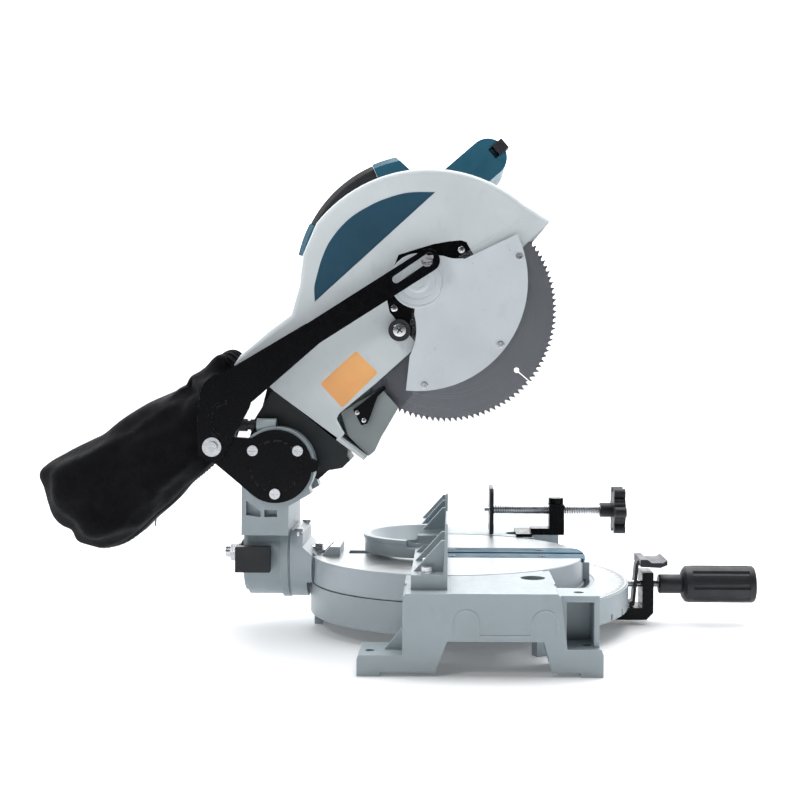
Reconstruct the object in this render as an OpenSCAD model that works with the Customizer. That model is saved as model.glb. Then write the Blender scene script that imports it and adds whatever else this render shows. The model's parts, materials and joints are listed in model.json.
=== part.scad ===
// Compound mitre saw: cast base, rotating table, tilting arm holder and a pivoting saw head.
// Origin: centre of the four bench holes, on the bench plane. +X right, +Y rear, +Z up.

/* [Base] */
// Height of the table top above the bench
table_z = 78; // [74:0.5:84]
// Distance from the bench-hole centre to the fence face
table_y = 30; // [28:0.5:32]
// Half width of the base over its legs
base_hx = 256; // [250:1:262]
// Bench hole distance from the centre line
bench_x = 235; // [232:0.5:238]
// Half of the front-to-rear bench hole spacing
bench_y = 103.5; // [102:0.5:105]
// Radius of the bench holes
bench_r = 4.5; // [3.5:0.1:5]

/* [Table] */
// Radius of the turntable
disc_r = 153; // [150:0.5:154]
// Thickness of the turntable
disc_t = 28; // [24:0.5:30]
// Height of the fence above the table
fence_h = 63; // [55:1:70]

/* [Blade] */
// Radius of the saw blade
blade_r = 127.5; // [120:0.5:128]
// Thickness of the saw blade
blade_t = 2.6; // [2:0.1:3]
// Number of blade teeth
tooth_count = 120; // [60:10:120]
// Radius of the blade bore
bore_r = 15; // [12.7:0.1:15]

/* [Gears] */
// Gear module
gear_m = 1.3; // [1.2:0.05:1.3]
// Pinion teeth
pinion_n = 12; // [12:1:12]
// Driven gear teeth
gear_n = 54; // [54:1:54]

/* [Motor] */
// Outer radius of the motor housing
motor_r = 53; // [50:0.5:55]
// Far end of the motor, from the blade plane
motor_end = 222; // [215:1:230]

/* [Hidden] */
$fn = 64;

// Places, measured from the fence foot at the table's centre: [y, z] at the blade plane
blade_c = [4, 276];        // spindle
motor_c = [34.74, 306.04];   // armature, and the lower guard's pivot
chop_c = [188.8, 101.8];   // head pivot
link_c = [257.1, 122.9];   // guard link pivot
pin_c = [24.5, 326.5];     // pin in the link's slot
roller_c = [54.5, 251.6];  // roller beside the guard plate
bevel_z = 0;               // bevel axis height, from the table top
vise_x = 160;              // vise position to the right
vise_z = 31;               // vise screw height
run_gap = 0.05;            // radial clearance of a running fit

// Shared shapes
module at_table() translate([0, table_y, table_z]) children();
module at(p, x = 0) translate([x, p[0], p[1]]) children();
// Extrudes a [y, z] outline from x0 to x1
module slab(x0, x1) translate([x0, 0, 0]) rotate([90, 0, 90]) linear_extrude(x1 - x0) children();
// Round bar along X
module xbar(r, x0, x1, fn = 64) translate([x0, 0, 0]) rotate([0, 90, 0]) cylinder(r = r, h = x1 - x0, $fn = fn);
// Round bar along Y, towards the rear
module ybar(r, y0, y1, fn = 64) translate([0, y1, 0]) rotate([90, 0, 0]) cylinder(r = r, h = y1 - y0, $fn = fn);
// Tube along X
module xtube(ro, ri, x0, x1) difference() {
  xbar(ro, x0, x1);
  xbar(ri, x0 - 1, x1 + 1);
}
function polar(r, a) = [r * cos(a), r * sin(a)];
function arc(c, r, a0, a1, n) = [for (i = [0:n]) c + polar(r, a0 + (a1 - a0) * i / n)];
// Hex head with a washer, standing on z = 0
module hex_head(r, h, washer_r) {
  cylinder(r = washer_r, h = 1.5);
  translate([0, 0, 1.5]) cylinder(r = r, h = h, $fn = 6);
}
// Pan head with a cross recess, facing -X
module pan_head(r, h) difference() {
  xbar(r, -h, 0);
  translate([-h - 1, -r * 0.6, -r * 0.14]) cube([2.2, r * 1.2, r * 0.28]);
  translate([-h - 1, -r * 0.14, -r * 0.6]) cube([2.2, r * 0.28, r * 1.2]);
}

// ---- Base ----
fence_bolt_x = [-224, -172, 172, 224];
fence_bolt_y = 20;
fence_step = 0.3;
fence_seat_front = -3;
wing_front = -106;
wing_rear = 42;
leg_in = 200;
bore_clear = 156.5;

slot_ri = 155;
slot_ro = 161;

module leg_profile() difference() {
  polygon([
    [85, -78], [13, -78], [0, -45], [-91, -45], [-100, -78], [-147, -78],
    [-147, -57], [-145, -52], [-113, -52], [-110, -30], [-107, -3], [-104, 0],
    [39, 0], [42, -3], [42, -58], [83, -58], [85, -62]
  ]);
  polygon([[63, -79], [63, -74], [13, -74], [13, -79]]);
  polygon([[-126, -79], [-126, -74], [-100, -74], [-100, -79]]);
}
module leg_arch(y) slab(-base_hx - 0.8, -base_hx + 1) difference() {
  union() {
    translate([y, -27.5]) circle(r = 12.6);
    translate([y - 12.6, -39.5]) square([25.2, 12]);
  }
  translate([y, -27.5]) circle(r = 11.2);
  translate([y - 11.2, -40.5]) square([22.4, 13]);
}
module base_half() {
  // Leg, with its hollow
  difference() {
    slab(-base_hx, -leg_in) leg_profile();
    translate([-base_hx + 4, wing_front + 5, -90]) cube([base_hx - leg_in - 8, wing_rear - wing_front - 10, 86]);
  }
  // Front lug, its clamp socket and web
  difference() {
    translate([-247, -144, -58]) cube([42, 38, 55]);
    translate([-249, -139, -52]) cube([40, 26, 43]);
    translate([-228, -126, -20]) cylinder(r = 5, h = 30);
  }
  // Rear gusset
  slab(-232, -227) polygon([[42, -58], [42, -36], [60, -58]]);
  leg_arch(-18);
  leg_arch(-92);
  slab(-base_hx - 0.8, -base_hx + 1) polygon([[-31, -40.4], [-31, -39], [-79, -39], [-79, -40.4]]);
  // Wing
  difference() {
    translate([-leg_in - 1, wing_front, -8]) cube([leg_in + 1, wing_rear - wing_front, 8]);
    translate([0, 0, -9]) cylinder(r = bore_clear, h = 10, $fn = 128);
    translate([-166, -86, -9]) cylinder(r = 12.5, h = 10);
    for (y = [-20, -80]) translate([-203, y, -9]) cylinder(r = 2, h = 10);
  }
  // Wing ribs down to the ring
  for (y = [wing_front, 36]) translate([-leg_in - 1, y, -40]) cube([leg_in + 1 - (y < 0 ? 141 : 158), 5, 34]);
}
module at_bench_holes() for (y = [-bench_y, bench_y])
  translate([-bench_x, y - table_y, 0]) children();
module base_casting() color("#c9d2d0") at_table() difference() {
  union() {
    base_half();
    mirror([1, 0, 0]) base_half();
    // Ring under the turntable
    difference() {
      translate([0, 0, -62]) cylinder(r = 154.5, h = 33, $fn = 128);
      translate([0, 0, -63]) cylinder(r = 147, h = 26, $fn = 128);
    }
    // Scale ring at the front
    difference() {
      translate([0, 0, -55]) cylinder(r = 204, h = 26.5, $fn = 128);
      translate([0, 0, -56]) cylinder(r = 196, h = 22, $fn = 128);
      translate([-300, -20, -60]) cube([600, 300, 40]);
      translate([-210, -300, -60]) cube([30, 400, 60]);
      translate([180, -300, -60]) cube([30, 400, 60]);
    }
    // Outer wall round the table
    difference() {
      translate([0, 0, -29]) cylinder(r = 161, h = 29, $fn = 128);
      translate([0, 0, -30]) cylinder(r = bore_clear, h = 31, $fn = 128);
      translate([-200, wing_rear, -31]) cube([400, 200, 40]);
      translate([-200, -300, -31]) cube([400, 300 + wing_front + 8, 40]);
    }
    // Spokes and hub under the table
    translate([0, 0, -62]) cylinder(r = 20, h = 27);
    for (a = [0:60:359]) rotate([0, 0, a]) translate([16, -3, -56]) cube([134, 6, 21]);
    // Small rear foot and front feet
    translate([-20, 140, -78]) cube([40, 9, 20]);
    for (a = [-150, -30]) rotate([0, 0, a]) translate([186, -9, -78]) cube([10, 18, 45]);
  }
  for (s = [-1, 1]) scale([s, 1, 1]) at_bench_holes() translate([0, 0, -90]) cylinder(r = bench_r, h = 60);
  // Slot that the table's front tab sweeps through
  difference() {
    translate([0, 0, -70]) cylinder(r = slot_ro, h = 80, $fn = 128);
    translate([0, 0, -71]) cylinder(r = slot_ri, h = 82, $fn = 128);
    for (s = [-1, 1]) scale([s, 1, 1]) rotate([0, 0, 51.5]) translate([0, -300, -72]) cube([400, 700, 84]);
  }
  // Centre bolt hole
  translate([0, 0, -70]) cylinder(r = 6 + run_gap, h = 60);
  // Detent notches in the scale ring's rim
  for (a = [-45, -31.6, -22.5, -15, 0, 15, 22.5, 31.6, 45])
    rotate([0, 0, a]) translate([-2.2, -206, -60]) cube([4.4, 5.5, 12]);
  // Fence bolt holes, and the fence's seat machined a little lower
  for (x = fence_bolt_x) translate([x, fence_bolt_y, -9]) cylinder(r = 3.05, h = 20);
  translate([-300, fence_seat_front, -fence_step]) cube([600, 60 - fence_seat_front, 1]);
  // Way down for a post through the wing
  for (s = [-1, 1]) scale([s, 1, 1]) translate([-166, -86, -60]) cylinder(r = 15.5, h = 45);
}
module mitre_scale() color("#e8ecec") at_table() difference() {
  translate([0, 0, -28.5]) cylinder(r = 202, h = 1, $fn = 128);
  translate([0, 0, -29]) cylinder(r = 166, h = 2, $fn = 128);
  translate([-300, -60, -30]) cube([600, 400, 4]);
  for (s = [-1, 1]) rotate([0, 0, s * 52]) translate([s > 0 ? 0 : -400, -300, -30]) cube([400, 400, 4]);
}

// ---- Fence ----
fence_in_l = -70;
fence_in_r = 38;
module fence_face() polygon([[0, -fence_step], [0, fence_h], [2, fence_h], [4, 14], [35, 14], [35, -fence_step]]);
module fence_part(x0, x1, gussets) {
  slab(x0, x1) fence_face();
  for (x = gussets) slab(x, x + 4) polygon([[3, 10], [2.6, 44], [6, 44], [34, 13]]);
}
module fence() color("#bcc6c5") at_table() difference() {
  union() {
    fence_part(-236, fence_in_l, [-215, -150, -90]);
    fence_part(fence_in_r, 236, [60, 140, 205]);
    // Bridge behind the blade, joining both halves
    difference() {
      union() {
        translate([0, 22, 4]) cylinder(r = 72, h = 19, $fn = 96);
        translate([0, 22, 19]) cylinder(r = 74, h = 4, $fn = 96);
      }
      translate([0, 22, 8]) cylinder(r1 = 48, r2 = 67, h = 16, $fn = 96);
      translate([0, 22, 3]) cylinder(r = 48, h = 6, $fn = 96);
      translate([-90, -90, 0]) cube([180, 91, 30]);
      translate([-34, -60, 3]) cube([68, 82, 30]);
    }
  }
  for (x = fence_bolt_x) translate([x, fence_bolt_y, -1]) cylinder(r = 3.05, h = 20);
  // Clear of the turntable, and cut back on the left for the tilted head
  translate([0, 0, -1]) cylinder(r = slot_ri, h = 1.4, $fn = 128);
  translate([0, 45, 0]) rotate([90, 0, 0]) linear_extrude(50) polygon([[-60, 14.5], [-82, 14.5],
    [-135, fence_h + 1], [-60, fence_h + 1]]);
}
module fence_bolts() color("#c8ccd0") at_table() for (x = fence_bolt_x) translate([x, fence_bolt_y, 0]) {
  translate([0, 0, 14]) hex_head(5.8, 4.5, 8);
  translate([0, 0, -8]) cylinder(r = 3, h = 23);
}

// ---- Vise ----
vise_r = 6;
module vise_block() color("#1a1b1e") at_table() difference() {
  union() {
    translate([vise_x - 13, -146, 8]) cube([26, 19, 30]);
    translate([vise_x, -136.5, 38]) cylinder(r = 9.5, h = 8);
    translate([vise_x - 13, -146, 0.5]) cube([26, 42, 8]);
    translate([vise_x - 30, -105, 0]) cube([60, 20, 4]);
  }
  translate([vise_x, 0, vise_z]) ybar(vise_r + run_gap, -150, -120);
}
module vise_screw() color("#d0d3d6") at_table() translate([vise_x, 0, vise_z]) {
  ybar(vise_r, -212, -57);
  ybar(2.5, -57.1, -46);
}
module vise_knob() color("#26282c") at_table() translate([vise_x, 0, vise_z]) difference() {
  union() {
    ybar(9, -208, -192);
    ybar(23, -222, -208);
    for (a = [0:60:359]) rotate([0, a, 0]) translate([25, 0, 0]) ybar(6.5, -222, -208, 32);
  }
  for (a = [30:60:359]) rotate([0, a, 0]) translate([29, 0, 0]) ybar(6.5, -223, -207, 32);
  ybar(vise_r, -212, -190);
}
module vise_pad() color("#3c4048") at_table() translate([vise_x, -52, vise_z]) difference() {
  intersection() {
    translate([-30, -5, -28.5]) cube([60, 5, 57]);
    translate([0, -6, 0]) rotate([-90, 0, 0]) cylinder(r = 38, h = 7);
  }
  ybar(2.5 + run_gap, -8, 2);
  translate([0, -1.2, 0]) rotate([90, 0, 0]) cylinder(r1 = 9, r2 = 4, h = 3.8);
  translate([0, -2, 0]) rotate([-90, 0, 0]) cylinder(r = 9, h = 4);
}

// ---- Turntable ----
kerf_hx = 38;
kerf_z = -4.6;
grip_z = -34;
module turntable() color("#d6dddc") at_table() difference() {
  union() {
    translate([0, 0, -disc_t]) cylinder(r = disc_r, h = disc_t - 1, $fn = 128);
    translate([0, 0, -1]) cylinder(r1 = disc_r, r2 = disc_r - 1, h = 1, $fn = 128);
    // Rear bracket and its bevel boss
    intersection() {
      slab(-48, 48) polygon([[120, -disc_t], [120, 10], [131, 10], [143, -3], [160, 12],
        [160, 26], [168, 30], [174, 30], [174, -48], [156, -48], [156, -disc_t]]);
      union() {
        ybar(49, 150, 176);
        translate([-38, 110, -30]) cube([76, 66, 30]);
        translate([-30, 110, -30]) cube([60, 66, 58]);
      }
    }
    // Front tab that reaches down through the base to the bracket
    slab(-14, 14) polygon([[-160, -58.4], [-160, -8], [-145, -8], [-145, -27], [-155.5, -27], [-155.5, -58.4]]);
  }
  // Hollow underside
  difference() {
    translate([0, 0, -disc_t - 1]) cylinder(r = disc_r - 8, h = disc_t - 11, $fn = 128);
    translate([0, 0, -disc_t - 1]) cylinder(r = 22, h = disc_t);
    for (a = [0:45:179]) rotate([0, 0, a]) translate([-150, -3, -disc_t - 1]) cube([300, 6, disc_t]);
  }
  // Kerf seat and saw slot
  translate([-kerf_hx, -170, kerf_z]) cube([2 * kerf_hx, 176, 10]);
  translate([-12, -140, -12]) cube([24, 252, 14]);
  for (x = [-24, 24]) for (y = [-5, -106]) translate([x, y, -12]) cylinder(r = 2.1, h = 12);
  translate([0, 0, -disc_t - 5]) cylinder(r = 6 + run_gap, h = 40);
  translate([0, 0, -12]) cylinder(r = 12, h = 20);
  ybar(7.02, 140, 180);
  ybar(12.2, 130, 150);
  for (x = [-40, 40]) translate([x, 165, 1.95]) {
    cylinder(r = 3.05, h = 40);
    translate([0, 0, 26]) cylinder(r = 7, h = 30);
  }
}
module kerf_boards() color("#4f97b5") at_table() difference() {
  intersection() {
    translate([-kerf_hx + 0.3, -156, kerf_z]) cube([2 * kerf_hx - 0.6, 161.5, 4.4]);
    translate([0, 0, -10]) cylinder(r = 155.5, h = 20, $fn = 128);
  }
  translate([-2.6, -170, -12]) cube([9.4, 190, 14]);
  for (x = [-24, 24]) for (y = [-5, -106]) translate([x, y, -12]) {
    cylinder(r = 2.1, h = 14);
    translate([0, 0, 10.4]) cylinder(r1 = 2.1, r2 = 4.6, h = 2.2);
  }
}
module kerf_screws() color("#30343a") at_table()
  for (x = [-24, 24]) for (y = [-5, -106]) translate([x, y, -11.5]) difference() {
    union() {
      cylinder(r = 2, h = 10);
      translate([0, 0, 9.9]) cylinder(r1 = 2, r2 = 4.2, h = 1.9);
    }
    translate([-3, -0.4, 11]) cube([6, 0.8, 2]);
  }
// Black angle bracket for the grip: an arm under the scale ring and an upright post
module front_bracket() color("#101114") at_table() difference() {
  slab(-18, 18) polygon([[-232, -19], [-219.5, -19], [-219.5, -58.5], [-155.4, -58.5], [-155.4, -72],
    [-224, -72], [-232, -64]]);
  translate([0, 0, grip_z]) ybar(4 + run_gap, -240, -200);
}
module centre_bolt() color("#b9bdc2") at_table() {
  translate([0, 0, -12]) hex_head(9, 5, 11.5);
  translate([0, 0, -72]) cylinder(r = 6, h = 61);
  translate([0, 0, -72.1]) cylinder(r = 10, h = 9.6, $fn = 6);
}
module bevel_bolt() color("#b9bdc2") at_table() {
  ybar(7, 150, 252);
  ybar(12, 142, 150, 6);
  ybar(12.5, 234, 236);
  ybar(11.5, 236, 246, 6);
}
// Tilt stops: bolts through the bracket's side lugs
module stop_bolts() color("#c3c7cb") at_table() {
  for (x = [-40, 40]) translate([x, 165, 0]) {
    translate([0, 0, 2]) cylinder(r = 3, h = 26);
    translate([0, 0, 28]) cylinder(r = 5.5, h = 4, $fn = 6);
  }
}

// ---- Detent lever and grip ----
module detent_lever() color("#3f434b") at_table() {
  slab(-26.5, 26.5) polygon([[-246, -9], [-246, -3.5], [-241, -6.5], [-228, -6.5], [-224, -3],
    [-216, -3], [-216, -11], [-238, -12]]);
  difference() {
    slab(-8, 8) polygon([[-220, -8], [-216.5, -5], [-213, -11], [-209.5, -52], [-206.5, -54], [-206.5, -57],
      [-212.5, -55], [-216.5, -12]]);
    translate([0, 0, grip_z]) ybar(6, -240, -200);
  }
  // Rolled eye that the spring leaf turns about
  at([-209.5, -55.5]) xbar(2.4, -9, 9);
}
module grip_rod() color("#c8ccd0") at_table() translate([0, 0, grip_z]) ybar(4, -262, -205.5);
module mitre_grip() color("#3a3d44") at_table() translate([0, 0, grip_z]) difference() {
  rotate([90, 0, 0]) rotate_extrude() polygon([[0, 240], [9.8, 240], [10.8, 241], [10.8, 265],
    [16, 267], [20, 270], [20.8, 274], [20.8, 346], [19.5, 348], [0, 348]]);
  for (a = [0:45:359]) rotate([0, a, 0]) translate([23.2, 0, 0]) ybar(4.2, -341, -277, 32);
  ybar(4, -262, -239);
}

// ---- Arm holder: tilts about the bevel axis and carries the head's pivot ----
lug_in = 32.5;
lug_out = 56;
lug_r = 43;
module arm_holder() color("#c2cccb") at_table() difference() {
  union() {
    ybar(48, 174.5, 184);
    ybar(47, 184, 222);
    ybar(43, 222, 226);
    // Column under the lugs
    difference() {
      slab(-lug_out, lug_out) polygon([[174.5, 26], [174.5, 58], [150, 72], [160, 100],
        [226, 100], [226, 26]]);
      // Clear of the head's barrel
      at(chop_c) xbar(lug_r + 1, -lug_in, lug_in);
      slab(-lug_in, lug_in) polygon([[140, 60], [235, 60], [235, 110], [140, 110]]);
      // Cast pockets
      for (s = [-1, 1]) scale([s, 1, 1]) {
        slab(lug_out - 10, lug_out + 1) polygon([[221, 48], [221, 64], [205, 52], [205, 46]]);
        slab(lug_out - 10, lug_out + 1) polygon([[201, 46], [201, 54], [187, 54], [187, 46]]);
      }
    }
    for (s = [-1, 1]) scale([s, 1, 1]) at(chop_c) xbar(lug_r, lug_in, lug_out);
    // Flange ring against the table's bracket
    ybar(50, 176, 184);
    // Boss for the stopper pin
    translate([stop_pin_x, 0, stop_pin_z]) ybar(7.5, 190, 211);
  }
  ybar(7 + run_gap, 170, 230);
  at(chop_c) xbar(12, -lug_out - 1, lug_out + 1);
  for (p = side_screw_at) at(p) xbar(2, -lug_out - 1, -lug_out + 10);
  translate([stop_pin_x, 0, stop_pin_z]) ybar(4 + run_gap, 185, 230);
}
side_screw_at = [for (a = [35, 145, 270]) chop_c + polar(a == 270 ? 29.8 : 30, a)];
stop_pin_x = -44;
stop_pin_z = 146;
module pivot_shaft() color("#a9adb2") at_table() at(chop_c) xbar(12, -lug_out, lug_out);
// Torsion spring on the pivot shaft, with a leg on each side
module return_spring() color("#8d9196") at_table() at(chop_c) {
  for (i = [0:3]) translate([12 + i * 5, 0, 0]) rotate([0, 90, 0]) rotate_extrude()
    translate([18, 0]) circle(r = 2.4, $fn = 24);
  for (i = [0:2]) translate([12 + i * 5, 16, -2]) cube([5, 3.6, 4]);
}
side_x0 = -60;
side_x1 = -56;
module side_plate_outline() difference() {
  union() {
    translate(chop_c) circle(r = 40);
    hull() {
      translate(link_c) circle(r = 12.5, $fn = 32);
      translate(chop_c + [8, -14]) circle(r = 24, $fn = 32);
      translate(chop_c + [12, 16]) circle(r = 14, $fn = 32);
    }
    translate([148.2, 102.8]) circle(r = 7);
  }
  for (p = side_screw_at) translate(p) circle(r = 2.1);
  translate(link_c) circle(r = 4.05);
}
module side_plate() color("#0f1013") at_table() difference() {
  union() {
    slab(side_x0, side_x1) side_plate_outline();
    at(chop_c) xbar(29, side_x0 - 0.8, side_x0 + 1);
  }
  at(chop_c) xtube(28, 27, side_x0 - 1.5, side_x0 - 0.3);
  for (p = side_screw_at) at(p) {
    xbar(7, side_x0 - 2, side_x0);
    xbar(2.1, side_x0 - 1, side_x1 + 1);
  }
}
module side_plate_screws() color("#d5d8db") at_table() for (p = side_screw_at) at(p) {
  translate([side_x0 - 0.05, 0, 0]) pan_head(5.8, 3.2);
  xbar(1.95, side_x0 - 0.1, side_x1 + 9);
}
link_x0 = -65;
link_x1 = -61;
module link_bolt() color("#c8ccd1") at_table() at(link_c) {
  translate([link_x0 - 1.6, 0, 0]) pan_head(6.2, 4);
  xbar(10.4, link_x0 - 1.6, link_x0 - 0.1);
  xbar(4, link_x0 - 1.6, side_x1 + 2);
}
// Bevel lock lever: a block on the left, its stem reaching back to the bevel bolt
module bevel_lever() color("#17181b") at_table() difference() {
  union() {
    ybar(14, 227, 233.5);
    translate([-62, 227, -7]) cube([56, 5, 14]);
    translate([-62, 194, -14]) cube([12, 38, 28]);
  }
  ybar(7 + run_gap, 220, 240);
  translate([-50, 190, -16]) cube([60, 37, 32]);
}
// Pull pin that holds the head down for carrying
module stopper_pin() color("#2a2c30") at_table() translate([stop_pin_x, 0, stop_pin_z]) {
  ybar(4, 190, 214);
  ybar(6.5, 213.9, 218);
  ybar(5, 217.9, 222);
  ybar(7, 221.9, 231);
}

// ---- Saw head ----
dome_c = [22, 272];
dome_r = 160.3;
near_x = -39;
far_x = 22;
wall = 3;
// Rear outline from the dome down to the chute's end
dome_rear = [[163, 336], [167, 301], [176, 268.5], [200, 251], [231, 224], [238, 212]];
panel_low = [[199.6, 189.3], [192.9, 183.3], [120.4, 130.3]];
module near_outline() polygon(concat(
  [[-81.4, 344.8], [-93.5, 357], [-111.9, 374.3], [-87.7, 390.1]],
  arc(dome_c, dome_r, 131, 38, 28), dome_rear, panel_low,
  [[115, 137], [123.8, 153], [121.8, 158.5], [80.2, 193.4], [37.2, 232.3], [35.4, 237], [58.9, 263.4],
   [66, 272], [68.8, 285], [66, 310], [56.5, 335.5], [17.7, 347.7], [0, 351], [-13.3, 352.1],
   [-18.8, 349.9], [-29.9, 331.1], [-55, 333]]));
module far_outline() polygon(concat(
  [[-70, 325], [-111.9, 374.3], [-87.7, 390.1]],
  arc(dome_c, dome_r, 131, 38, 28), dome_rear, panel_low,
  [[90.9, 110.2], [37.2, 232.3], [-30, 232], [-52, 260], [-58, 290]]));
// Room inside the shell, open towards the blade's teeth
module shell_room() polygon(concat(
  [[-140, 370], [-112, 369.8], [-86, 386.4]],
  arc(dome_c, dome_r - wall, 130.5, 38.5, 28),
  [[160, 335], [164, 300.5], [173.4, 266.3], [197.6, 248.5], [235, 219], [260, 190], [197.2, 190.4],
   [191, 186.2], [119, 133.6], [60, 90], [-140, 90]]));
module upper_guard() color("#dfe5e4") at_table() difference() {
  union() {
    slab(near_x, near_x + wall) near_outline();
    difference() {
      slab(near_x + wall, far_x) far_outline();
      slab(near_x + wall - 1, far_x - wall) shell_room();
    }
    // Bottom flange along the panel
    slab(near_x, near_x + 8) polygon([[121.5, 134], [90.9, 110.2], [93.5, 107.5], [124.5, 130]]);
  }
  at(blade_c) xbar(24, far_x - wall - 1, far_x + 1);
  at(roller_c) xbar(2.5, near_x - 1, near_x + wall + 1);
  chute_flange(0.1);
  in_mouth() translate([0, 0, 13.8]) cylinder(r = collar_r + 0.15, h = 20);
}
module centre_plate_outline() difference() {
  union() {
    intersection() {
      translate(motor_c) circle(r = 62);
      polygon([[70, 300], [70, 240], [20, 225], [20, 300], [-34, 326], [-34, 358], [60, 358]]);
    }
    polygon([[68.8, 282], [56, 336], [17.7, 346], [0, 351], [-13.3, 352], [-19, 350], [-32, 329],
      [0, 320], [40, 270]]);
  }
  translate(roller_c) circle(r = 2.5);
}
// Black plate behind the guard plate, covering the arbor bolt
module centre_plate() color("#111216") at_table() difference() {
  union() {
    slab(near_x + wall + 0.05, near_x + wall + 1.6) centre_plate_outline();
    for (p = [[-13.2, 341.5], [61, 276]]) at(p) translate([near_x + wall + 0.1, 0, 0]) pan_head(4.2, 2);
    // Pivot of the lower guard
    at(motor_c) xbar(8, -48.6, near_x + wall + 1);
    at(motor_c) xbar(10, -50, -48.5);
  }
  at(motor_c) xbar(4.4, -51, -38);
}
module guard_roller() color("#26282c") at_table() at(roller_c) {
  difference() {
    xbar(12.2, -50, -41.6);
    xbar(8.5, -51, -47.5);
  }
  translate([-47.4, 0, 0]) pan_head(7.8, 2.4);
  xbar(2.5, -47.5, near_x + wall + 2);
}

// Gear housing, between the shell's far wall and the motor
gh_x0 = 22.2;
gh_x1 = 52;
gear_r = gear_m * gear_n / 2;
pinion_r = gear_m * pinion_n / 2;
gear_dir = atan2(motor_c[1] - blade_c[1], motor_c[0] - blade_c[0]);
module housing_outline(grow) {
  translate(blade_c) circle(r = 42 + grow);
  translate(motor_c) circle(r = motor_r + grow);
}
module gear_housing() color("#cfd6d5") at_table() difference() {
  slab(gh_x0, gh_x1) housing_outline(0);
  at(blade_c) {
    xbar(16, gh_x0 - 1, 33);
    xbar(38.6, 32.9, 43);
    xbar(13, 42, 49);
    xbar(8, 48, gh_x1 + 1);
  }
  at(motor_c) {
    xbar(12, 32.9, 44);
    xbar(14, 43.9, gh_x1 + 1);
  }
}
module bearing(ro, ri, x0, x1) difference() {
  xtube(ro, ri + run_gap, x0, x1);
  xtube(ro * 0.72 + ri * 0.28, ro * 0.3 + ri * 0.7, x0 - 1, x0 + 0.8);
}
module bearings() color("#aeb3b8") at_table() {
  at(blade_c) bearing(16, 7.5, 24, 32);
  at(blade_c) bearing(13, 6, 43.2, 49);
  at(motor_c) bearing(14, 6, 44.2, 52);
  at(motor_c) bearing(11, 4, 158, 165);
}
module motor_housing() color("#2a5f74") at_table() difference() {
  union() {
    at(motor_c) xbar(motor_r, gh_x1, 165);
    at(motor_c) xbar(motor_r + 2.5, gh_x1, gh_x1 + 8);
    for (a = [60, 240]) at(motor_c) rotate([a, 0, 0]) translate([150, 0, motor_r - 4]) cylinder(r = 8, h = 9);
  }
  at(motor_c) {
    xbar(motor_r - 4, gh_x1 + 4, 152);
    xbar(11, 150, 166);
    xbar(8, gh_x1 - 1, gh_x1 + 5);
  }
  for (a = [0:30:359]) at(motor_c) rotate([a, 0, 0]) translate([57, -4, motor_r - 6]) cube([10, 8, 12]);
  for (a = [60, 240]) at(motor_c) rotate([a, 0, 0]) translate([150, 0, 18]) cylinder(r = 5, h = 45);
  in_gland() translate([0, 0, -8]) cylinder(r = 3.6, h = 12);
  in_gland() cylinder(r = 9.1, h = 6);
}
module brush_caps() color("#1c1d20") at_table()
  for (a = [60, 240]) at(motor_c) rotate([a, 0, 0]) translate([142, 0, 0]) {
    translate([8, 0, motor_r + 5]) difference() {
      cylinder(r = 7, h = 3);
      translate([-8, -0.8, 2]) cube([16, 1.6, 2]);
    }
    translate([8, 0, 22]) cylinder(r = 4.8, h = motor_r - 17);
    translate([5.5, -3, 17]) cube([5, 6, 6]);
  }
// Strain-relief gland where the mains lead enters the motor housing
gland_x = 138;
module in_gland() at(motor_c, gland_x) rotate([-60, 0, 0]) translate([0, 0, motor_r - 0.6]) children();
module cord_inlet() color("#17181b") at_table() in_gland() difference() {
  union() {
    cylinder(r = 9, h = 4.6);
    cylinder(r1 = 7.4, r2 = 5.6, h = 26);
    for (z = [8:4:24]) translate([0, 0, z]) cylinder(r = 7.6 - z * 0.05, h = 2);
  }
  translate([0, 0, -1]) cylinder(r = 3.6, h = 30);
}
module motor_stator() color("#8c8f94") at_table() at(motor_c) difference() {
  xbar(motor_r - 4.1, 78, 130);
  xbar(29, 77, 131);
  for (a = [0, 180]) rotate([a, 0, 0]) translate([77, -14, 30]) cube([54, 28, 8]);
}
module motor_cover() color("#1f2125") at_table() difference() {
  union() {
    at(motor_c) translate([165.2, 0, 0]) rotate([0, 90, 0]) rotate_extrude() polygon([[0, 0], [motor_r - 1, 0],
      [motor_r - 1, 38], [motor_r - 6, motor_end - 171], [motor_r - 14, motor_end - 165.2], [0, motor_end - 165.2]]);
  }
  at(motor_c) xbar(motor_r - 5, 160, motor_end - 14);
  for (a = [0:20:359]) at(motor_c) rotate([a, 0, 0]) translate([178, -2, motor_r - 8]) cube([22, 4, 12]);
  for (i = [-3:3]) at(motor_c) translate([motor_end - 15, i * 9 - 2, -26]) cube([20, 4, 52]);
}

// Arm from the pivot barrel up to the gear housing
module head_arm() color("#3a464c") at_table() difference() {
  union() {
    at(chop_c) xbar(40, -31, 31);
    slab(-31, 31) polygon([[224, 122], [216, 152], [197, 183], [195, 184.4], [122.6, 126.8], [109, 107],
      [118, 98], [152, 92], [180, 70]]);
    slab(far_x + 0.2, gh_x1 - 2) polygon([[226, 120], [205, 205], [72, 314], [20, 262], [36, 232], [100, 125],
      [150, 80]]);
    at([121, 115]) xbar(9, -31, 31);
  }
  at(blade_c) xbar(42, 20, 60);
  at(motor_c) xbar(motor_r, 20, 60);
  at(chop_c) {
    xbar(12 + run_gap, -40, 60);
    xbar(23, 8, 32);
    // Clear of the holder's lug and column over the whole stroke
    xbar(75, lug_in - 1.2, 60);
  }
}

// D-handle: a grip bar across the head on two arms, split through its middle
handle_tilt = 41;
grip_c = [-44.5, 457.5];
grip_hx = [46, 166];
module in_grip() at(grip_c) rotate([-handle_tilt, 0, 0]) children();
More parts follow.
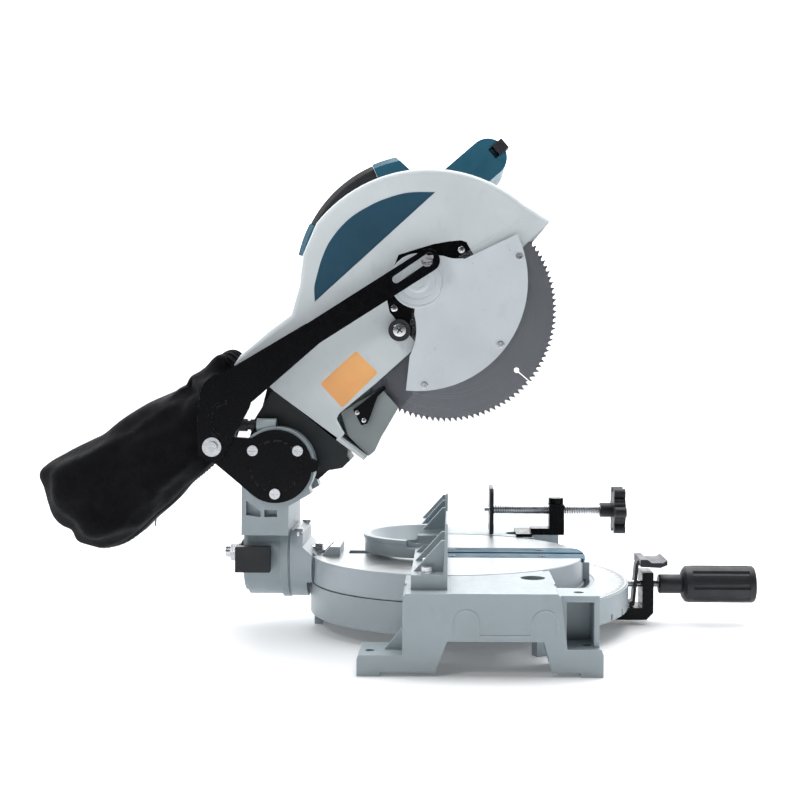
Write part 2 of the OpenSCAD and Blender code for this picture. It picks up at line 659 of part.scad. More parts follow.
// In this frame -Y points up and forward along the arms, and +Z away from the blade
module handle_body() difference() {
  union() {
    in_grip() xbar(22.5, grip_hx[0], grip_hx[1]);
    for (x = [grip_hx[0], grip_hx[1] - 24]) in_grip() translate([x, 0, -22.5]) cube([24, 130, 45]);
    in_grip() translate([grip_hx[0], 0, -20]) cube([grip_hx[1] - grip_hx[0], 12, 40]);
  }
  at(motor_c) xbar(motor_r + 2.7, 40, 170);
  slab(40, 170) polygon([[20, 350], [200, 350], [200, 200], [-100, 200], [-100, 350]]);
  // Trigger and lock-off pockets
  in_grip() translate([80, 2, -9.2]) cube([50.4, 30, 18.4]);
  in_grip() translate([grip_hx[0] - 1, -27, -7.2]) cube([17.4, 21, 14.4]);
}
module handle_lower() color("#2b6076") at_table() difference() {
  handle_body();
  in_grip() translate([30, -40, 0]) cube([150, 200, 60]);
}
module handle_upper() color("#2d6479") at_table() intersection() {
  handle_body();
  in_grip() translate([30, -40, 0.1]) cube([150, 200, 60]);
}
module trigger() color("#1b1c1f") at_table() in_grip() difference() {
  translate([80.2, 8, -9]) cube([50, 22, 18]);
  translate([0, 41, 0]) xbar(14, 70, 140);
}
module lock_off_button() color("#202125") at_table() in_grip()
  translate([grip_hx[0] - 2, -26.5, -7]) cube([18, 14, 14]);

// Carrying handle over the motor's rear
carry_c = [30, 310];
module carry_sweep(r0, r1, x0, x1, a0, a1) at(carry_c) rotate([90, 0, 90]) rotate([0, 0, a0])
  rotate_extrude(angle = a1 - a0) polygon([[r0 + 4, x0], [r1 - 6, x0], [r1, x0 + 6], [r1, x1 - 6],
    [r1 - 6, x1], [r0 + 4, x1], [r0, x1 - 4], [r0, x0 + 4]]);
module carry_mount() color("#2b6076") at_table() difference() {
  union() {
    carry_sweep(118, 150, 34, 62, 66, 84);
    carry_sweep(118, 150, 34, 62, 12, 27);
    for (a = [14, 70]) at(carry_c) rotate([a, 0, 0]) translate([34, 46, -2]) cube([28, 78, 26]);
  }
  at(motor_c) xbar(motor_r + 2.7, 20, 70);
  in_grip() translate([grip_hx[0] - 0.2, -2, -22.7]) cube([30, 140, 45.4]);
  // Sloping front
  slab(30, 70) polygon([[66.7, 458.9], [30, 475], [30, 426], [46.7, 440.9]]);
}
module carry_grip() color("#33363c") at_table() carry_sweep(119, 149, 35, 61, 27.1, 65.9);

// Dust chute behind the blade, with its outlet tube
collar_r = 18.5;
outlet_r = 15.5;
outlet_end = 27;
module in_mouth() at([232.5, 196.6]) rotate([-50, 0, 0]) translate([-9, 0, 0]) children();
module chute_flange(grow) in_mouth() translate([0, 0, -4 - grow]) cylinder(r = 17.5 + grow, h = 4 + 2 * grow);
module dust_chute() color("#8b9496") at_table() difference() {
  union() {
    slab(-30, -27) polygon([[88.8, 111.5], [82, 117], [72.6, 137.8], [56.4, 166.3], [75, 187], [120, 160], [112, 134]]);
    slab(15, 18) polygon([[88.8, 111.5], [72.6, 137.8], [56.4, 166.3], [75, 187], [120, 160], [112, 134]]);
    slab(-30, 18) polygon([[88.8, 111.5], [112, 134], [120, 160], [117, 161], [109, 136], [87, 115]]);
    chute_flange(0);
    in_mouth() translate([0, 0, -4]) cylinder(r = outlet_r, h = outlet_end + 4);
  }
  in_mouth() translate([0, 0, -40]) cylinder(r = outlet_r - 2.5, h = 90);
}
module chute_bracket() color("#101114") at_table() {
  slab(-34.5, -30.1) polygon([[106, 163.5], [99, 168.5], [72, 190.5], [69.5, 187], [79, 178], [90, 148], [97, 146]]);
  for (p = [[101.5, 160], [94, 151.5]]) at(p) translate([-34.5, 0, 0]) pan_head(2.9, 1.2);
}
bag_hx = 56;
module bag_outline() polygon([[246, 226.5], [253, 228], [261, 224], [272, 212], [275, 206.8], [292, 200.6],
  [313, 191.5], [346, 173], [384.8, 148.2], [421.5, 130],
  [464.9, 107.3], [469, 84.8], [458, 58], [443, 34.7], [408, 5.5], [394.8, 4.5], [381.4, 8], [354.8, 26],
  [329.7, 49.7], [306, 71], [276, 100], [256, 128], [246, 160], [243.5, 195], [241, 214]]);
module dust_bag() color("#1d1d21") at_table() difference() {
  union() {
    slab(-bag_hx + 22, bag_hx - 26) bag_outline();
    slab(-bag_hx, bag_hx - 4) offset(delta = -16) bag_outline();
  }
  in_mouth() cylinder(r = collar_r + 0.1, h = outlet_end + 0.2);
}
module bag_collar() color("#151518") at_table() in_mouth() difference() {
  translate([0, 0, 14]) cylinder(r = collar_r, h = outlet_end - 15);
  translate([0, 0, 13]) cylinder(r = outlet_r + 0.2, h = outlet_end);
}

// ---- Blade and drive ----
tooth_h = 4.6;
module saw_blade() color("#4a4d52") at_table() at(blade_c) difference() {
  slab(-blade_t / 2, blade_t / 2) polygon([for (i = [0:tooth_count - 1]) let (a = i * 360 / tooth_count,
    s = 360 / tooth_count) each [polar(blade_r, 180 - a), polar(blade_r - tooth_h, 180 - a - s * 0.12),
    polar(blade_r - tooth_h, 180 - a - s * 0.4)]]);
  xbar(bore_r, -5, 5);
  // Expansion slots with round ends
  for (a = [40:90:359]) rotate([a, 0, 0]) {
    translate([-5, -0.6, 106]) cube([10, 1.2, 30]);
    translate([0, 0, 106]) xbar(3, -5, 5);
  }
}
module blade_flanges() color("#6f7379") at_table() at(blade_c) {
  difference() {
    union() {
      xbar(23, blade_t / 2, 6);
      xbar(bore_r, 0, 2);
    }
    xbar(7.5, -1, 7);
  }
  difference() {
    union() {
      xbar(23, -6, -blade_t / 2);
      xbar(bore_r, -2, -0.01);
    }
    xbar(7.5, -7, 1);
  }
}
module arbor_bolt() color("#24262a") at_table() at(blade_c) {
  xbar(8.5, -12, -9, 6);
  xbar(12, -9, -6);
  xbar(4, -9, 20);
}
module spindle() color("#9a9ea3") at_table() at(blade_c) difference() {
  union() {
    xbar(7.5, -6, 34);
    xbar(11, 6, 23.4);
    xbar(6, 33, 50);
  }
  xbar(4, -7, 20);
}
function inv(a) = tan(a) * 180 / PI - a;
// Points of one involute tooth of a gear with n teeth, 25 degree pressure angle
function tooth(n, lash) = let (rp = gear_m * n / 2, rb = rp * cos(25), ra = rp + gear_m * 0.95,
    rr = rp - gear_m * 1.2, half = 90 / n + inv(25) - lash / rp * 90 / PI,
    rs = [for (i = [0:4]) max(rb, rr) + (ra - max(rb, rr)) * i / 4])
  concat(rr < rb ? [polar(rr, -half)] : [], [for (r = rs) polar(r, -(half - inv(acos(min(1, rb / r)))))],
    [for (i = [4:-1:0]) polar(rs[i], half - inv(acos(min(1, rb / rs[i]))))], rr < rb ? [polar(rr, half)] : []);
function turn(p, a) = [p[0] * cos(a) - p[1] * sin(a), p[0] * sin(a) + p[1] * cos(a)];
module gear(n, lash, a0) polygon([for (i = [0:n - 1]) each [for (p = tooth(n, lash)) turn(p, a0 + i * 360 / n)]]);
module spindle_gear() color("#b08a4a") at_table() at(blade_c) difference() {
  slab(34.2, 42) gear(gear_n, 0.2, gear_dir + 180 / gear_n);
  xbar(6, 30, 45);
  for (a = [0:60:359]) rotate([a, 0, 0]) translate([0, 0, 22]) xbar(5, 30, 45);
}
module armature_shaft() color("#a4a8ad") at_table() at(motor_c) {
  slab(33.6, 43.6) gear(pinion_n, 0.2, gear_dir + 180);
  xbar(6, 43.5, 150);
  xbar(4, 149, 166);
}
module motor_fan() color("#3b3e44") at_table() at(motor_c) difference() {
  union() {
    xbar(12, 56, 68);
    xbar(44, 56, 58);
    for (a = [0:30:359]) rotate([a, 0, 0]) translate([57, -1, 11]) cube([10, 2, 32]);
  }
  xbar(6, 50, 70);
}
module armature_core() color("#b56a3c") at_table() at(motor_c) difference() {
  union() {
    xbar(28, 80, 128);
    xbar(22, 72, 136);
    xbar(16.5, 138, 152);
    xbar(12, 135, 139);
  }
  xbar(6, 70, 153);
  for (a = [0:30:359]) rotate([a, 0, 0]) translate([79, -1.5, 25]) cube([50, 3, 5]);
}

// ---- Lower guard ----
guard_r = 182;
guard_a0 = -100;
guard_a1 = 31.5;
// Angles run from the front, upwards; d is the distance from the guard's pivot
function from_front(d, a) = motor_c + [-d * cos(a), d * sin(a)];
module guard_sector(r, a0, a1) polygon(concat([motor_c],
  [for (i = [0:32]) from_front(r, a0 + (a1 - a0) * i / 32)]));
module lower_guard() color([0.85, 0.92, 0.95, 0.35]) at_table() difference() {
  union() {
    slab(-44, -42) {
      difference() {
        guard_sector(guard_r, guard_a0, guard_a1);
        translate(motor_c + [60, -95]) circle(r = 62);
      }
      translate(motor_c) circle(r = 29);
    }
    slab(-42.1, 28) difference() {
      guard_sector(guard_r, guard_a0, guard_a1);
      translate(motor_c) circle(r = guard_r - 2, $fn = 128);
    }
    slab(26, 28) difference() {
      guard_sector(guard_r, guard_a0, guard_a1);
      translate(motor_c) circle(r = 166, $fn = 128);
    }
  }
  at(motor_c) xbar(8 + run_gap, -50, -40);
  at(roller_c) xbar(14, -45, -41.5);
}
plate_r = 121.4;
// Light plate riveted to the guard's near side
module plate_outline() difference() {
  union() {
    polygon(concat([motor_c], [for (i = [0:24]) from_front(plate_r, -95.8 + 121.4 * i / 24)]));
    translate(motor_c) circle(r = 29);
    polygon([motor_c, [22, 334.5], [13, 334.6], [-29.6, 329.3]]);
  }
  // Scooped upper and rear edges
  translate([-8, 366]) circle(r = 35);
  translate([97, 252]) circle(r = 61);
  translate(pin_c) circle(r = 1.6);
}
module guard_plate() color("#dde3e3") at_table() difference() {
  union() {
    slab(-47, -44.05) plate_outline();
    at(motor_c) xtube(28, 26, -47.5, -46.9);
    at(motor_c) xtube(15, 13.4, -48, -46.9);
  }
  at(motor_c) xbar(8 + run_gap, -50, -40);
}
guard_screw_r = 115;
module guard_screws() color("#cfd3d6") at_table() {
  for (a = [14, -37, -86]) at(from_front(guard_screw_r, a)) translate([-47, 0, 0]) pan_head(3.8, 2);
  // Pin that runs in the link's slot
  at(pin_c) {
    xbar(1.6, -66, -44.1);
    translate([-65.4, 0, 0]) pan_head(6.2, 3);
    xbar(3.6, -60.6, -47);
  }
}
// ---- Guard link ----
link_dir = 145.3;
slot_shift = [1.5, 2.2];
link_ahead = [-0.82, 0.57];
slot_hw = 4.4;
module link_outline() difference() {
  union() {
    hull() {
      translate(pin_c + 2 * link_ahead) circle(r = 12.6, $fn = 32);
      translate([196.5, 216]) circle(r = 12.6, $fn = 32);
    }
    hull() {
      translate([150, 246]) circle(r = 13, $fn = 32);
      translate([225, 188]) circle(r = 19, $fn = 32);
      translate([241, 181]) circle(r = 22, $fn = 32);
    }
    hull() {
      translate([243, 176]) circle(r = 28, $fn = 32);
      translate([253, 150]) circle(r = 20.5, $fn = 32);
      translate(link_c) circle(r = 15.5, $fn = 32);
    }
  }
  hull() {
    translate(pin_c + slot_shift + 5.2 * link_ahead) circle(r = slot_hw, $fn = 32);
    translate(pin_c + slot_shift + 38.6 * [cos(link_dir - 180), sin(link_dir - 180)]) circle(r = slot_hw, $fn = 32);
  }
  translate(link_c) circle(r = 4 + run_gap);
}
module guard_link() color("#101114") at_table() {
  slab(link_x0, link_x1) link_outline();
  // Stiffening ribs pressed outwards
  difference() {
    slab(link_x0 - 0.7, link_x0 + 0.5) difference() {
      translate([240, 152]) circle(r = 22);
      translate([240, 152]) circle(r = 18);
      translate([190, 100]) square([52, 120]);
    }
  }
  at([94, 280.8]) xbar(2.2, link_x0 - 1, link_x0 + 0.5);
}

base_casting();
mitre_scale();
fence();
fence_bolts();
vise_block();
turntable();
kerf_boards();
kerf_screws();
front_bracket();
centre_bolt();
bevel_bolt();
stop_bolts();
detent_lever();
mitre_grip();
grip_rod();
arm_holder();
pivot_shaft();
return_spring();
side_plate();
side_plate_screws();
link_bolt();
bevel_lever();
stopper_pin();
upper_guard();
head_arm();
gear_housing();
bearings();
motor_housing();
motor_stator();
motor_cover();
brush_caps();
cord_inlet();
handle_lower();
handle_upper();
carry_mount();
carry_grip();
dust_chute();
chute_bracket();
dust_bag();
bag_collar();
centre_plate();
guard_roller();
saw_blade();
blade_flanges();
arbor_bolt();
spindle();
spindle_gear();
armature_shaft();
armature_core();
motor_fan();
lower_guard();
guard_plate();
guard_screws();
guard_link();
trigger();
lock_off_button();
vise_screw();
vise_knob();
vise_pad();
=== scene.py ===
"""Visual model of a compound mitre saw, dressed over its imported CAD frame. Lengths are in metres."""

import json
import math

import bmesh
import bpy
from mathutils import Matrix, Vector, noise
from mathutils.bvhtree import BVHTree


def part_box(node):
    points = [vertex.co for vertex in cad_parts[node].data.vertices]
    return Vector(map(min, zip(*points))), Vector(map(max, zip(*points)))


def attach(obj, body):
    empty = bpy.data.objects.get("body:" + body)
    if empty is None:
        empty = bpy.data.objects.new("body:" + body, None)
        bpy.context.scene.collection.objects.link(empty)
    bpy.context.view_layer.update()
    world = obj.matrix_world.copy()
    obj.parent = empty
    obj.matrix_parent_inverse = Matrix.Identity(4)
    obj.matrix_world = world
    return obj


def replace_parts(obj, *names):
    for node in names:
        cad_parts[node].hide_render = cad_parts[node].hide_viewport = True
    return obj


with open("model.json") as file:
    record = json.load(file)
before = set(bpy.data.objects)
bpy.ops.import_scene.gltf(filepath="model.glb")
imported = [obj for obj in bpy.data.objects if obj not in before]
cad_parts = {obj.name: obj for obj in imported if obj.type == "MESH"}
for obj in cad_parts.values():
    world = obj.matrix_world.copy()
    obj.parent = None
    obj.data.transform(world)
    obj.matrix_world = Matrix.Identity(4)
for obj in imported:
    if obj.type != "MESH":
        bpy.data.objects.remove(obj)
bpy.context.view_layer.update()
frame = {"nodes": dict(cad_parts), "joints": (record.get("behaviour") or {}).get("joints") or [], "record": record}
NODES = frame["nodes"]
JOINTS = {j["name"]: j for j in frame["joints"]}
SLOTS = {s["node"]: s["material_slot"] for s in frame["record"]["subparts"]}
MM = 0.001


def joint_at(name):
    return Vector(JOINTS[name]["pos_m"])


TABLE = joint_at("mitre")  # the table's pivot, in the plane of its top and of the fence's face
BLADE = joint_at("blade_spin")
MOTOR = joint_at("armature_spin")


def spot(x, y, z):
    """A place given in millimetres from TABLE."""
    return TABLE + Vector((x, y, z)) * MM


# ---------------------------------------------------------------- materials
class Mat:
    """A procedural material: a Principled shader and the nodes that feed it."""

    def __init__(self, name, colour, rough, metal=0.0, **sockets):
        self.material = bpy.data.materials.new(name)
        self.material.use_nodes = True
        self.tree = self.material.node_tree
        self.shader = self.tree.nodes["Principled BSDF"]
        self.colour = colour
        self.fix("Base Color", (*colour, 1.0))
        self.fix("Roughness", rough)
        self.fix("Metallic", metal)
        for socket, value in sockets.items():
            self.fix(socket.replace("_", " "), value)
        self.place = self.add("ShaderNodeTexCoord").outputs["Object"]

    def fix(self, socket, value):
        self.shader.inputs[socket].default_value = value

    def link(self, value, socket):
        self.tree.links.new(value, self.shader.inputs[socket])

    def add(self, kind, inputs=None, **props):
        made = self.tree.nodes.new(kind)
        for key, value in props.items():
            setattr(made, key, value)
        for key, value in (inputs or {}).items():
            if isinstance(value, bpy.types.NodeSocket):
                self.tree.links.new(value, made.inputs[key])
            else:
                made.inputs[key].default_value = value
        return made

    def math(self, kind, a, b=0.0):
        return self.add("ShaderNodeMath", {0: a, 1: b}, operation=kind).outputs[0]

    def remap(self, value, low, high, to_low=0.0, to_high=1.0):
        inputs = {"Value": value, "From Min": low, "From Max": high, "To Min": to_low, "To Max": to_high}
        return self.add("ShaderNodeMapRange", inputs, clamp=True).outputs[0]

    def noise(self, scale, detail=3.0, where=None, rough=0.55):
        inputs = {"Vector": where or self.place, "Scale": scale, "Detail": detail, "Roughness": rough}
        return self.add("ShaderNodeTexNoise", inputs).outputs[0]

    def stretch(self, x, y, z):
        return self.add("ShaderNodeMapping", {"Vector": self.place, "Scale": (x, y, z)}).outputs[0]

    def blend(self, factor, a, b):
        inputs = {0: factor}
        made = self.add("ShaderNodeMix", inputs, data_type="RGBA")
        for index, value in ((6, a), (7, b)):
            if isinstance(value, bpy.types.NodeSocket):
                self.tree.links.new(value, made.inputs[index])
            else:
                made.inputs[index].default_value = (*value[:3], 1.0)
        return made.outputs[2]

    def shade(self, by):
        return tuple(min(1.0, c * by) for c in self.colour)

    def bump(self, height, depth, strength=1.0):
        inputs = {"Height": height, "Distance": depth, "Strength": strength}
        self.link(self.add("ShaderNodeBump", inputs).outputs[0], "Normal")

    def edges(self, width):
        """1 along sharp edges and 0 elsewhere."""
        soft = self.add("ShaderNodeBevel", {"Radius": width}, samples=4).outputs[0]
        hard = self.add("ShaderNodeNewGeometry").outputs["Normal"]
        dot = self.add("ShaderNodeVectorMath", {0: soft, 1: hard}, operation="DOT_PRODUCT")
        return self.remap(dot.outputs["Value"], 0.98, 0.84)

    def distance_from(self, centre, axis_kept):
        """Distance from an axis along X, Y or Z through centre."""
        keep = [0.0 if i == axis_kept else 1.0 for i in range(3)]
        back = tuple(-c for c in centre)
        moved = self.add("ShaderNodeVectorMath", {0: self.place, 1: back}, operation="ADD")
        flat = self.add("ShaderNodeVectorMath", {0: moved.outputs[0], 1: tuple(keep)}, operation="MULTIPLY")
        return self.add("ShaderNodeVectorMath", {0: flat.outputs[0]}, operation="LENGTH").outputs["Value"]


def cast_paint(name, colour, rough=0.4, metal=0.15, wear=0.5, grain=700.0, depth=0.00006):
    """Satin paint over a sand-textured casting, thin and brighter along its edges."""
    m = Mat(name, colour, rough, metal)
    broad = m.remap(m.noise(9.0, 4.0), 0.3, 0.7)
    tinted = m.blend(broad, m.shade(0.9), m.shade(1.06))
    grime = m.remap(m.noise(38.0, 6.0, rough=0.7), 0.56, 0.74)
    tinted = m.blend(m.math("MULTIPLY", grime, 0.22), tinted, m.shade(0.62))
    rubbed = m.math("MULTIPLY", m.edges(0.0011), m.remap(m.noise(60.0, 4.0), 0.42, 0.6))
    rubbed = m.math("MULTIPLY", rubbed, wear)
    m.link(m.blend(rubbed, tinted, (0.78, 0.79, 0.79)), "Base Color")
    m.link(m.remap(m.noise(120.0, 3.0), 0.25, 0.75, rough - 0.07, rough + 0.08), "Roughness")
    m.bump(m.math("ADD", m.noise(grain, 2.0), m.math("MULTIPLY", m.noise(grain / 4, 2.0), 1.2)), depth)
    return m.material


def table_top(name, colour):
    """Painted sides with a turned, bare top that work has slid over."""
    m = Mat(name, colour, 0.38, 0.2)
    up = m.add("ShaderNodeSeparateXYZ", {0: m.add("ShaderNodeNewGeometry").outputs["Normal"]}).outputs[2]
    top = m.remap(up, 0.9, 0.97)
    radius = m.distance_from(TABLE, 2)
    rings = m.add("ShaderNodeTexNoise", {"W": m.math("MULTIPLY", radius, 900.0), "Scale": 1.0, "Detail": 3.0},
                  noise_dimensions="1D").outputs[0]
    slid = m.noise(1.0, 5.0, m.stretch(420.0, 14.0, 30.0))
    paint = m.blend(m.remap(m.noise(10.0, 4.0), 0.3, 0.7), m.shade(0.9), m.shade(1.05))
    bare = m.blend(m.remap(m.math("ADD", rings, slid), 0.7, 1.3), (0.34, 0.36, 0.37), (0.5, 0.52, 0.53))
    m.link(m.blend(top, paint, bare), "Base Color")
    m.link(m.math("MULTIPLY", top, 0.6), "Metallic")
    m.link(m.remap(m.math("ADD", slid, rings), 0.7, 1.3, 0.28, 0.46), "Roughness")
    m.bump(m.math("ADD", rings, m.noise(700.0, 2.0)), 0.00003)
    return m.material


def moulded(name, colour, rough=0.45, grain=1500.0, depth=0.00004, gloss=0.0):
    """Injection-moulded plastic with a fine spark-eroded grain, lighter in random scuffs, and a painted highlight
    along every edge.
    """
    m = Mat(name, colour, rough, 0.0, Coat_Weight=gloss, Coat_Roughness=0.25)
    scuff = m.remap(m.noise(45.0, 6.0, rough=0.7), 0.55, 0.75)
    tinted = m.blend(m.remap(m.noise(14.0, 3.0), 0.3, 0.7), m.shade(0.88), m.shade(1.1))
    tinted = m.blend(m.math("MULTIPLY", scuff, 0.12), tinted, tuple(c * 1.1 + 0.03 for c in colour))
    # painted highlight: every edge is lightened evenly, as light catching it, not wear
    edge = m.math("MULTIPLY", m.edges(0.0009), 0.28)
    m.link(m.blend(edge, tinted, tuple(c * 1.25 + 0.03 for c in colour)), "Base Color")
    m.link(m.remap(m.noise(70.0, 4.0), 0.3, 0.7, rough - 0.08, rough + 0.09), "Roughness")
    m.bump(m.noise(grain, 2.0), depth)
    return m.material


def steel(name, colour, rough=0.28, brush=(40.0, 900.0, 900.0), metal=1.0, depth=0.00001):
    """Plated or ground steel with fine lines and small stains."""
    m = Mat(name, colour, rough, metal)
    lines = m.noise(1.0, 4.0, m.stretch(*brush))
    stain = m.remap(m.noise(55.0, 5.0, rough=0.65), 0.5, 0.75)
    tinted = m.blend(m.remap(lines, 0.3, 0.7), m.shade(0.86), m.shade(1.1))
    m.link(m.blend(m.math("MULTIPLY", stain, 0.35), tinted, m.shade(0.62)), "Base Color")
    m.link(m.remap(lines, 0.25, 0.75, rough - 0.06, rough + 0.1), "Roughness")
    m.bump(lines, depth)
    return m.material


def black_coat(name, colour, rough=0.24):
    """Black stove enamel on pressed steel, chipped along its edges."""
    m = Mat(name, colour, rough, 0.0, Specular_IOR_Level=0.12)
    chips = m.math("MULTIPLY", m.edges(0.0007), m.remap(m.noise(240.0, 4.0), 0.52, 0.6))
    dust = m.math("MULTIPLY", m.remap(m.noise(30.0, 5.0), 0.45, 0.75), 0.1)
    coat = m.blend(dust, m.colour, tuple(c * 1.4 + 0.008 for c in colour))
    m.link(m.blend(m.math("MULTIPLY", chips, 0.3), coat, (0.3, 0.31, 0.33)), "Base Color")
    m.link(m.remap(m.noise(90.0, 3.0), 0.3, 0.7, rough - 0.05, rough + 0.09), "Roughness")
    m.bump(m.noise(420.0, 2.0), 0.00002)
    return m.material


def blade_plate(name, colour):
    """Ground blade: concentric grinding marks, a duller rim and faint resin stains."""
    m = Mat(name, colour, 0.3, 0.9)
    radius = m.distance_from(BLADE, 0)
    grinding = {"W": m.math("MULTIPLY", radius, 2600.0), "Scale": 1.0, "Detail": 4.0}
    rings = m.add("ShaderNodeTexNoise", grinding, noise_dimensions="1D").outputs[0]
    tinted = m.blend(m.remap(rings, 0.25, 0.75), m.shade(0.72), m.shade(1.3))
    rim = m.remap(radius, 0.1215, 0.1245)
    tinted = m.blend(rim, tinted, m.shade(0.55))
    stain = m.remap(m.noise(26.0, 5.0), 0.55, 0.75)
    m.link(m.blend(m.math("MULTIPLY", stain, 0.3), tinted, (0.09, 0.075, 0.06)), "Base Color")
    m.link(m.remap(rings, 0.2, 0.8, 0.24, 0.44), "Roughness")
    m.bump(rings, 0.00001)
    return m.material


def clear_guard(name, colour):
    """Clear polycarbonate: nearly invisible face on, brighter at a glance, with fine scratches."""
    m = Mat(name, colour, 0.08, 0.0, Specular_IOR_Level=0.6)
    glance = m.add("ShaderNodeLayerWeight", {"Blend": 0.35}).outputs["Facing"]
    scratch = m.remap(m.noise(1.0, 5.0, m.stretch(30.0, 160.0, 160.0)), 0.62, 0.72, 0.0, 0.05)
    alpha = m.math("ADD", m.remap(glance, 0.15, 1.0, 0.035, 0.4), scratch)
    m.link(alpha, "Alpha")
    m.link(m.remap(m.noise(80.0, 4.0), 0.4, 0.7, 0.05, 0.16), "Roughness")
    m.bump(m.noise(20.0, 3.0), 0.0001, 0.4)
    return m.material


def woven(name, colour):
    """Dull black polyester in a plain weave, with soft crumples and a little dust in them."""
    m = Mat(name, colour, 0.85, 0.0, Sheen_Weight=0.04, Sheen_Roughness=0.5, Specular_IOR_Level=0.15)
    axes = m.add("ShaderNodeSeparateXYZ", {0: m.place}).outputs
    warp = m.math("SINE", m.math("MULTIPLY", m.math("ADD", axes[1], axes[0]), 2 * math.pi / 0.0011))
    weft = m.math("SINE", m.math("MULTIPLY", m.math("SUBTRACT", axes[2], axes[0]), 2 * math.pi / 0.0011))
    weave = m.math("MULTIPLY", warp, weft)
    dust = m.remap(m.noise(28.0, 6.0, rough=0.7), 0.5, 0.78)
    cloth = m.blend(m.remap(weave, -1.0, 1.0), m.shade(0.75), m.shade(1.3))
    m.link(m.blend(m.math("MULTIPLY", dust, 0.2), cloth, (0.014, 0.014, 0.017)), "Base Color")
    m.link(m.remap(m.noise(60.0, 3.0), 0.3, 0.7, 0.74, 0.92), "Roughness")
    crumple = m.math("MULTIPLY", m.noise(75.0, 4.0, rough=0.6), 9.0)
    m.bump(m.math("ADD", m.math("MULTIPLY", weave, 0.35), crumple), 0.0003, 0.8)
    return m.material


def build_materials():
    return {
        "cast_paint": cast_paint("cast_paint", (0.37, 0.43, 0.46)),
        "turntable_alloy": table_top("turntable_alloy", (0.45, 0.51, 0.55)),
        "scale_metal": steel("scale_metal", (0.5, 0.52, 0.53), 0.45, (300.0, 300.0, 300.0), 0.7),
        "zinc_steel": steel("zinc_steel", (0.68, 0.69, 0.71), 0.25, (500.0, 60.0, 500.0)),
        "bright_steel": steel("bright_steel", (0.55, 0.57, 0.59), 0.26),
        "black_steel": black_coat("black_steel", (0.002, 0.0022, 0.0032)),
        "grey_steel": black_coat("grey_steel", (0.04, 0.043, 0.052), 0.32),
        "blade_steel": blade_plate("blade_steel", (0.16, 0.165, 0.185)),
        "gear_bronze": steel("gear_bronze", (0.5, 0.36, 0.16), 0.35),
        "motor_copper": steel("motor_copper", (0.55, 0.26, 0.12), 0.4, (600.0, 80.0, 80.0)),
        "stator_steel": steel("stator_steel", (0.3, 0.31, 0.33), 0.45, (2500.0, 60.0, 60.0)),
        "teal_plastic": moulded("teal_plastic", (0.016, 0.115, 0.18), 0.4, gloss=0.15),
        "dark_plastic": moulded("dark_plastic", (0.014, 0.015, 0.019), 0.5),
        "arm_paint": cast_paint("arm_paint", (0.005, 0.009, 0.012), 0.5, 0.0, 0.2),
        "chute_plastic": moulded("chute_plastic", (0.27, 0.3, 0.3), 0.5),
        "kerf_plastic": moulded("kerf_plastic", (0.01, 0.09, 0.15), 0.6),
        "clear_plastic": clear_guard("clear_plastic", (0.86, 0.9, 0.92)),
        "guard_paint": cast_paint("guard_paint", (0.68, 0.73, 0.76), 0.34, 0.1, 0.35, 1100.0, 0.00002),
        "bag_fabric": woven("bag_fabric", (0.0022, 0.0023, 0.0036)),
        # and those that only the dressing uses
        "badge": moulded("badge", (0.002, 0.055, 0.1), 0.6, 900.0, 0.00001),
        "shell_paint": cast_paint("shell_paint", (0.66, 0.71, 0.73), 0.42, 0.0, 0.3),
        "badge_rim": moulded("badge_rim", (0.62, 0.68, 0.7), 0.35, 900.0, 0.00001),
        "label": moulded("label", (1.0, 0.47, 0.17), 0.6, 900.0, 0.00001),
        "tick_ink": moulded("tick_ink", (0.02, 0.02, 0.022), 0.5),
    }


MATERIALS = build_materials()


def dress(obj, slot):
    obj.data.materials.clear()
    obj.data.materials.append(MATERIALS[slot])


# ---------------------------------------------------------------- CAD nodes
WELD_GAP = 0.00001
FINE_EDGE, CAST_EDGE = 0.00025, 0.0007
SHARP = math.radians(38)  # edges that turn further than this are rounded
NO_BEVEL = {"saw_blade", "spindle_gear", "dust_bag", "lower_guard", "mitre_scale"}
FINE_BEVEL = {"fence_bolts", "kerf_screws", "side_plate_screws", "guard_screws", "link_bolt", "bearings",
              "stop_bolts", "arbor_bolt", "chute_bracket", "motor_fan", "grip_rod", "trigger",
              "lock_off_button"}


def soften(obj, width):
    """Welds the import's split points and rounds the sharp edges a little, as real ones are."""
    weld = obj.modifiers.new("weld", "WELD")
    weld.merge_threshold = WELD_GAP
    bevel = obj.modifiers.new("soft_edges", "BEVEL")
    bevel.width = width
    bevel.segments = 2
    bevel.limit_method = "ANGLE"
    bevel.angle_limit = SHARP
    bevel.use_clamp_overlap = True
    bevel.harden_normals = False
    even = obj.modifiers.new("even_normals", "WEIGHTED_NORMAL")
    even.keep_sharp = False
    even.weight = 90


def dress_cad_nodes():
    for name, obj in NODES.items():
        dress(obj, SLOTS[name])
        if name not in NO_BEVEL:
            soften(obj, FINE_EDGE if name in FINE_BEVEL else CAST_EDGE)


dress_cad_nodes()


# ---------------------------------------------------------------- new pieces
def piece(name, verts, faces, slot, body, smooth=True):
    mesh = bpy.data.meshes.new(name)
    mesh.from_pydata([tuple(v) for v in verts], [], faces)
    mesh.update()
    mesh.polygons.foreach_set("use_smooth", [smooth] * len(mesh.polygons))
    obj = bpy.data.objects.new(name, mesh)
    bpy.context.scene.collection.objects.link(obj)
    if slot:
        dress(obj, slot)
    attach(obj, body)
    return obj


BOX_FACES = ((3, 2, 1, 0), (4, 5, 6, 7), (0, 1, 5, 4), (1, 2, 6, 5), (2, 3, 7, 6), (3, 0, 4, 7))
SQUARE = ((-1, -1), (1, -1), (1, 1), (-1, 1))


def box_faces(start):
    """The six faces of a box whose eight corners begin at start, four at each end."""
    return [tuple(start + i for i in face) for face in BOX_FACES]


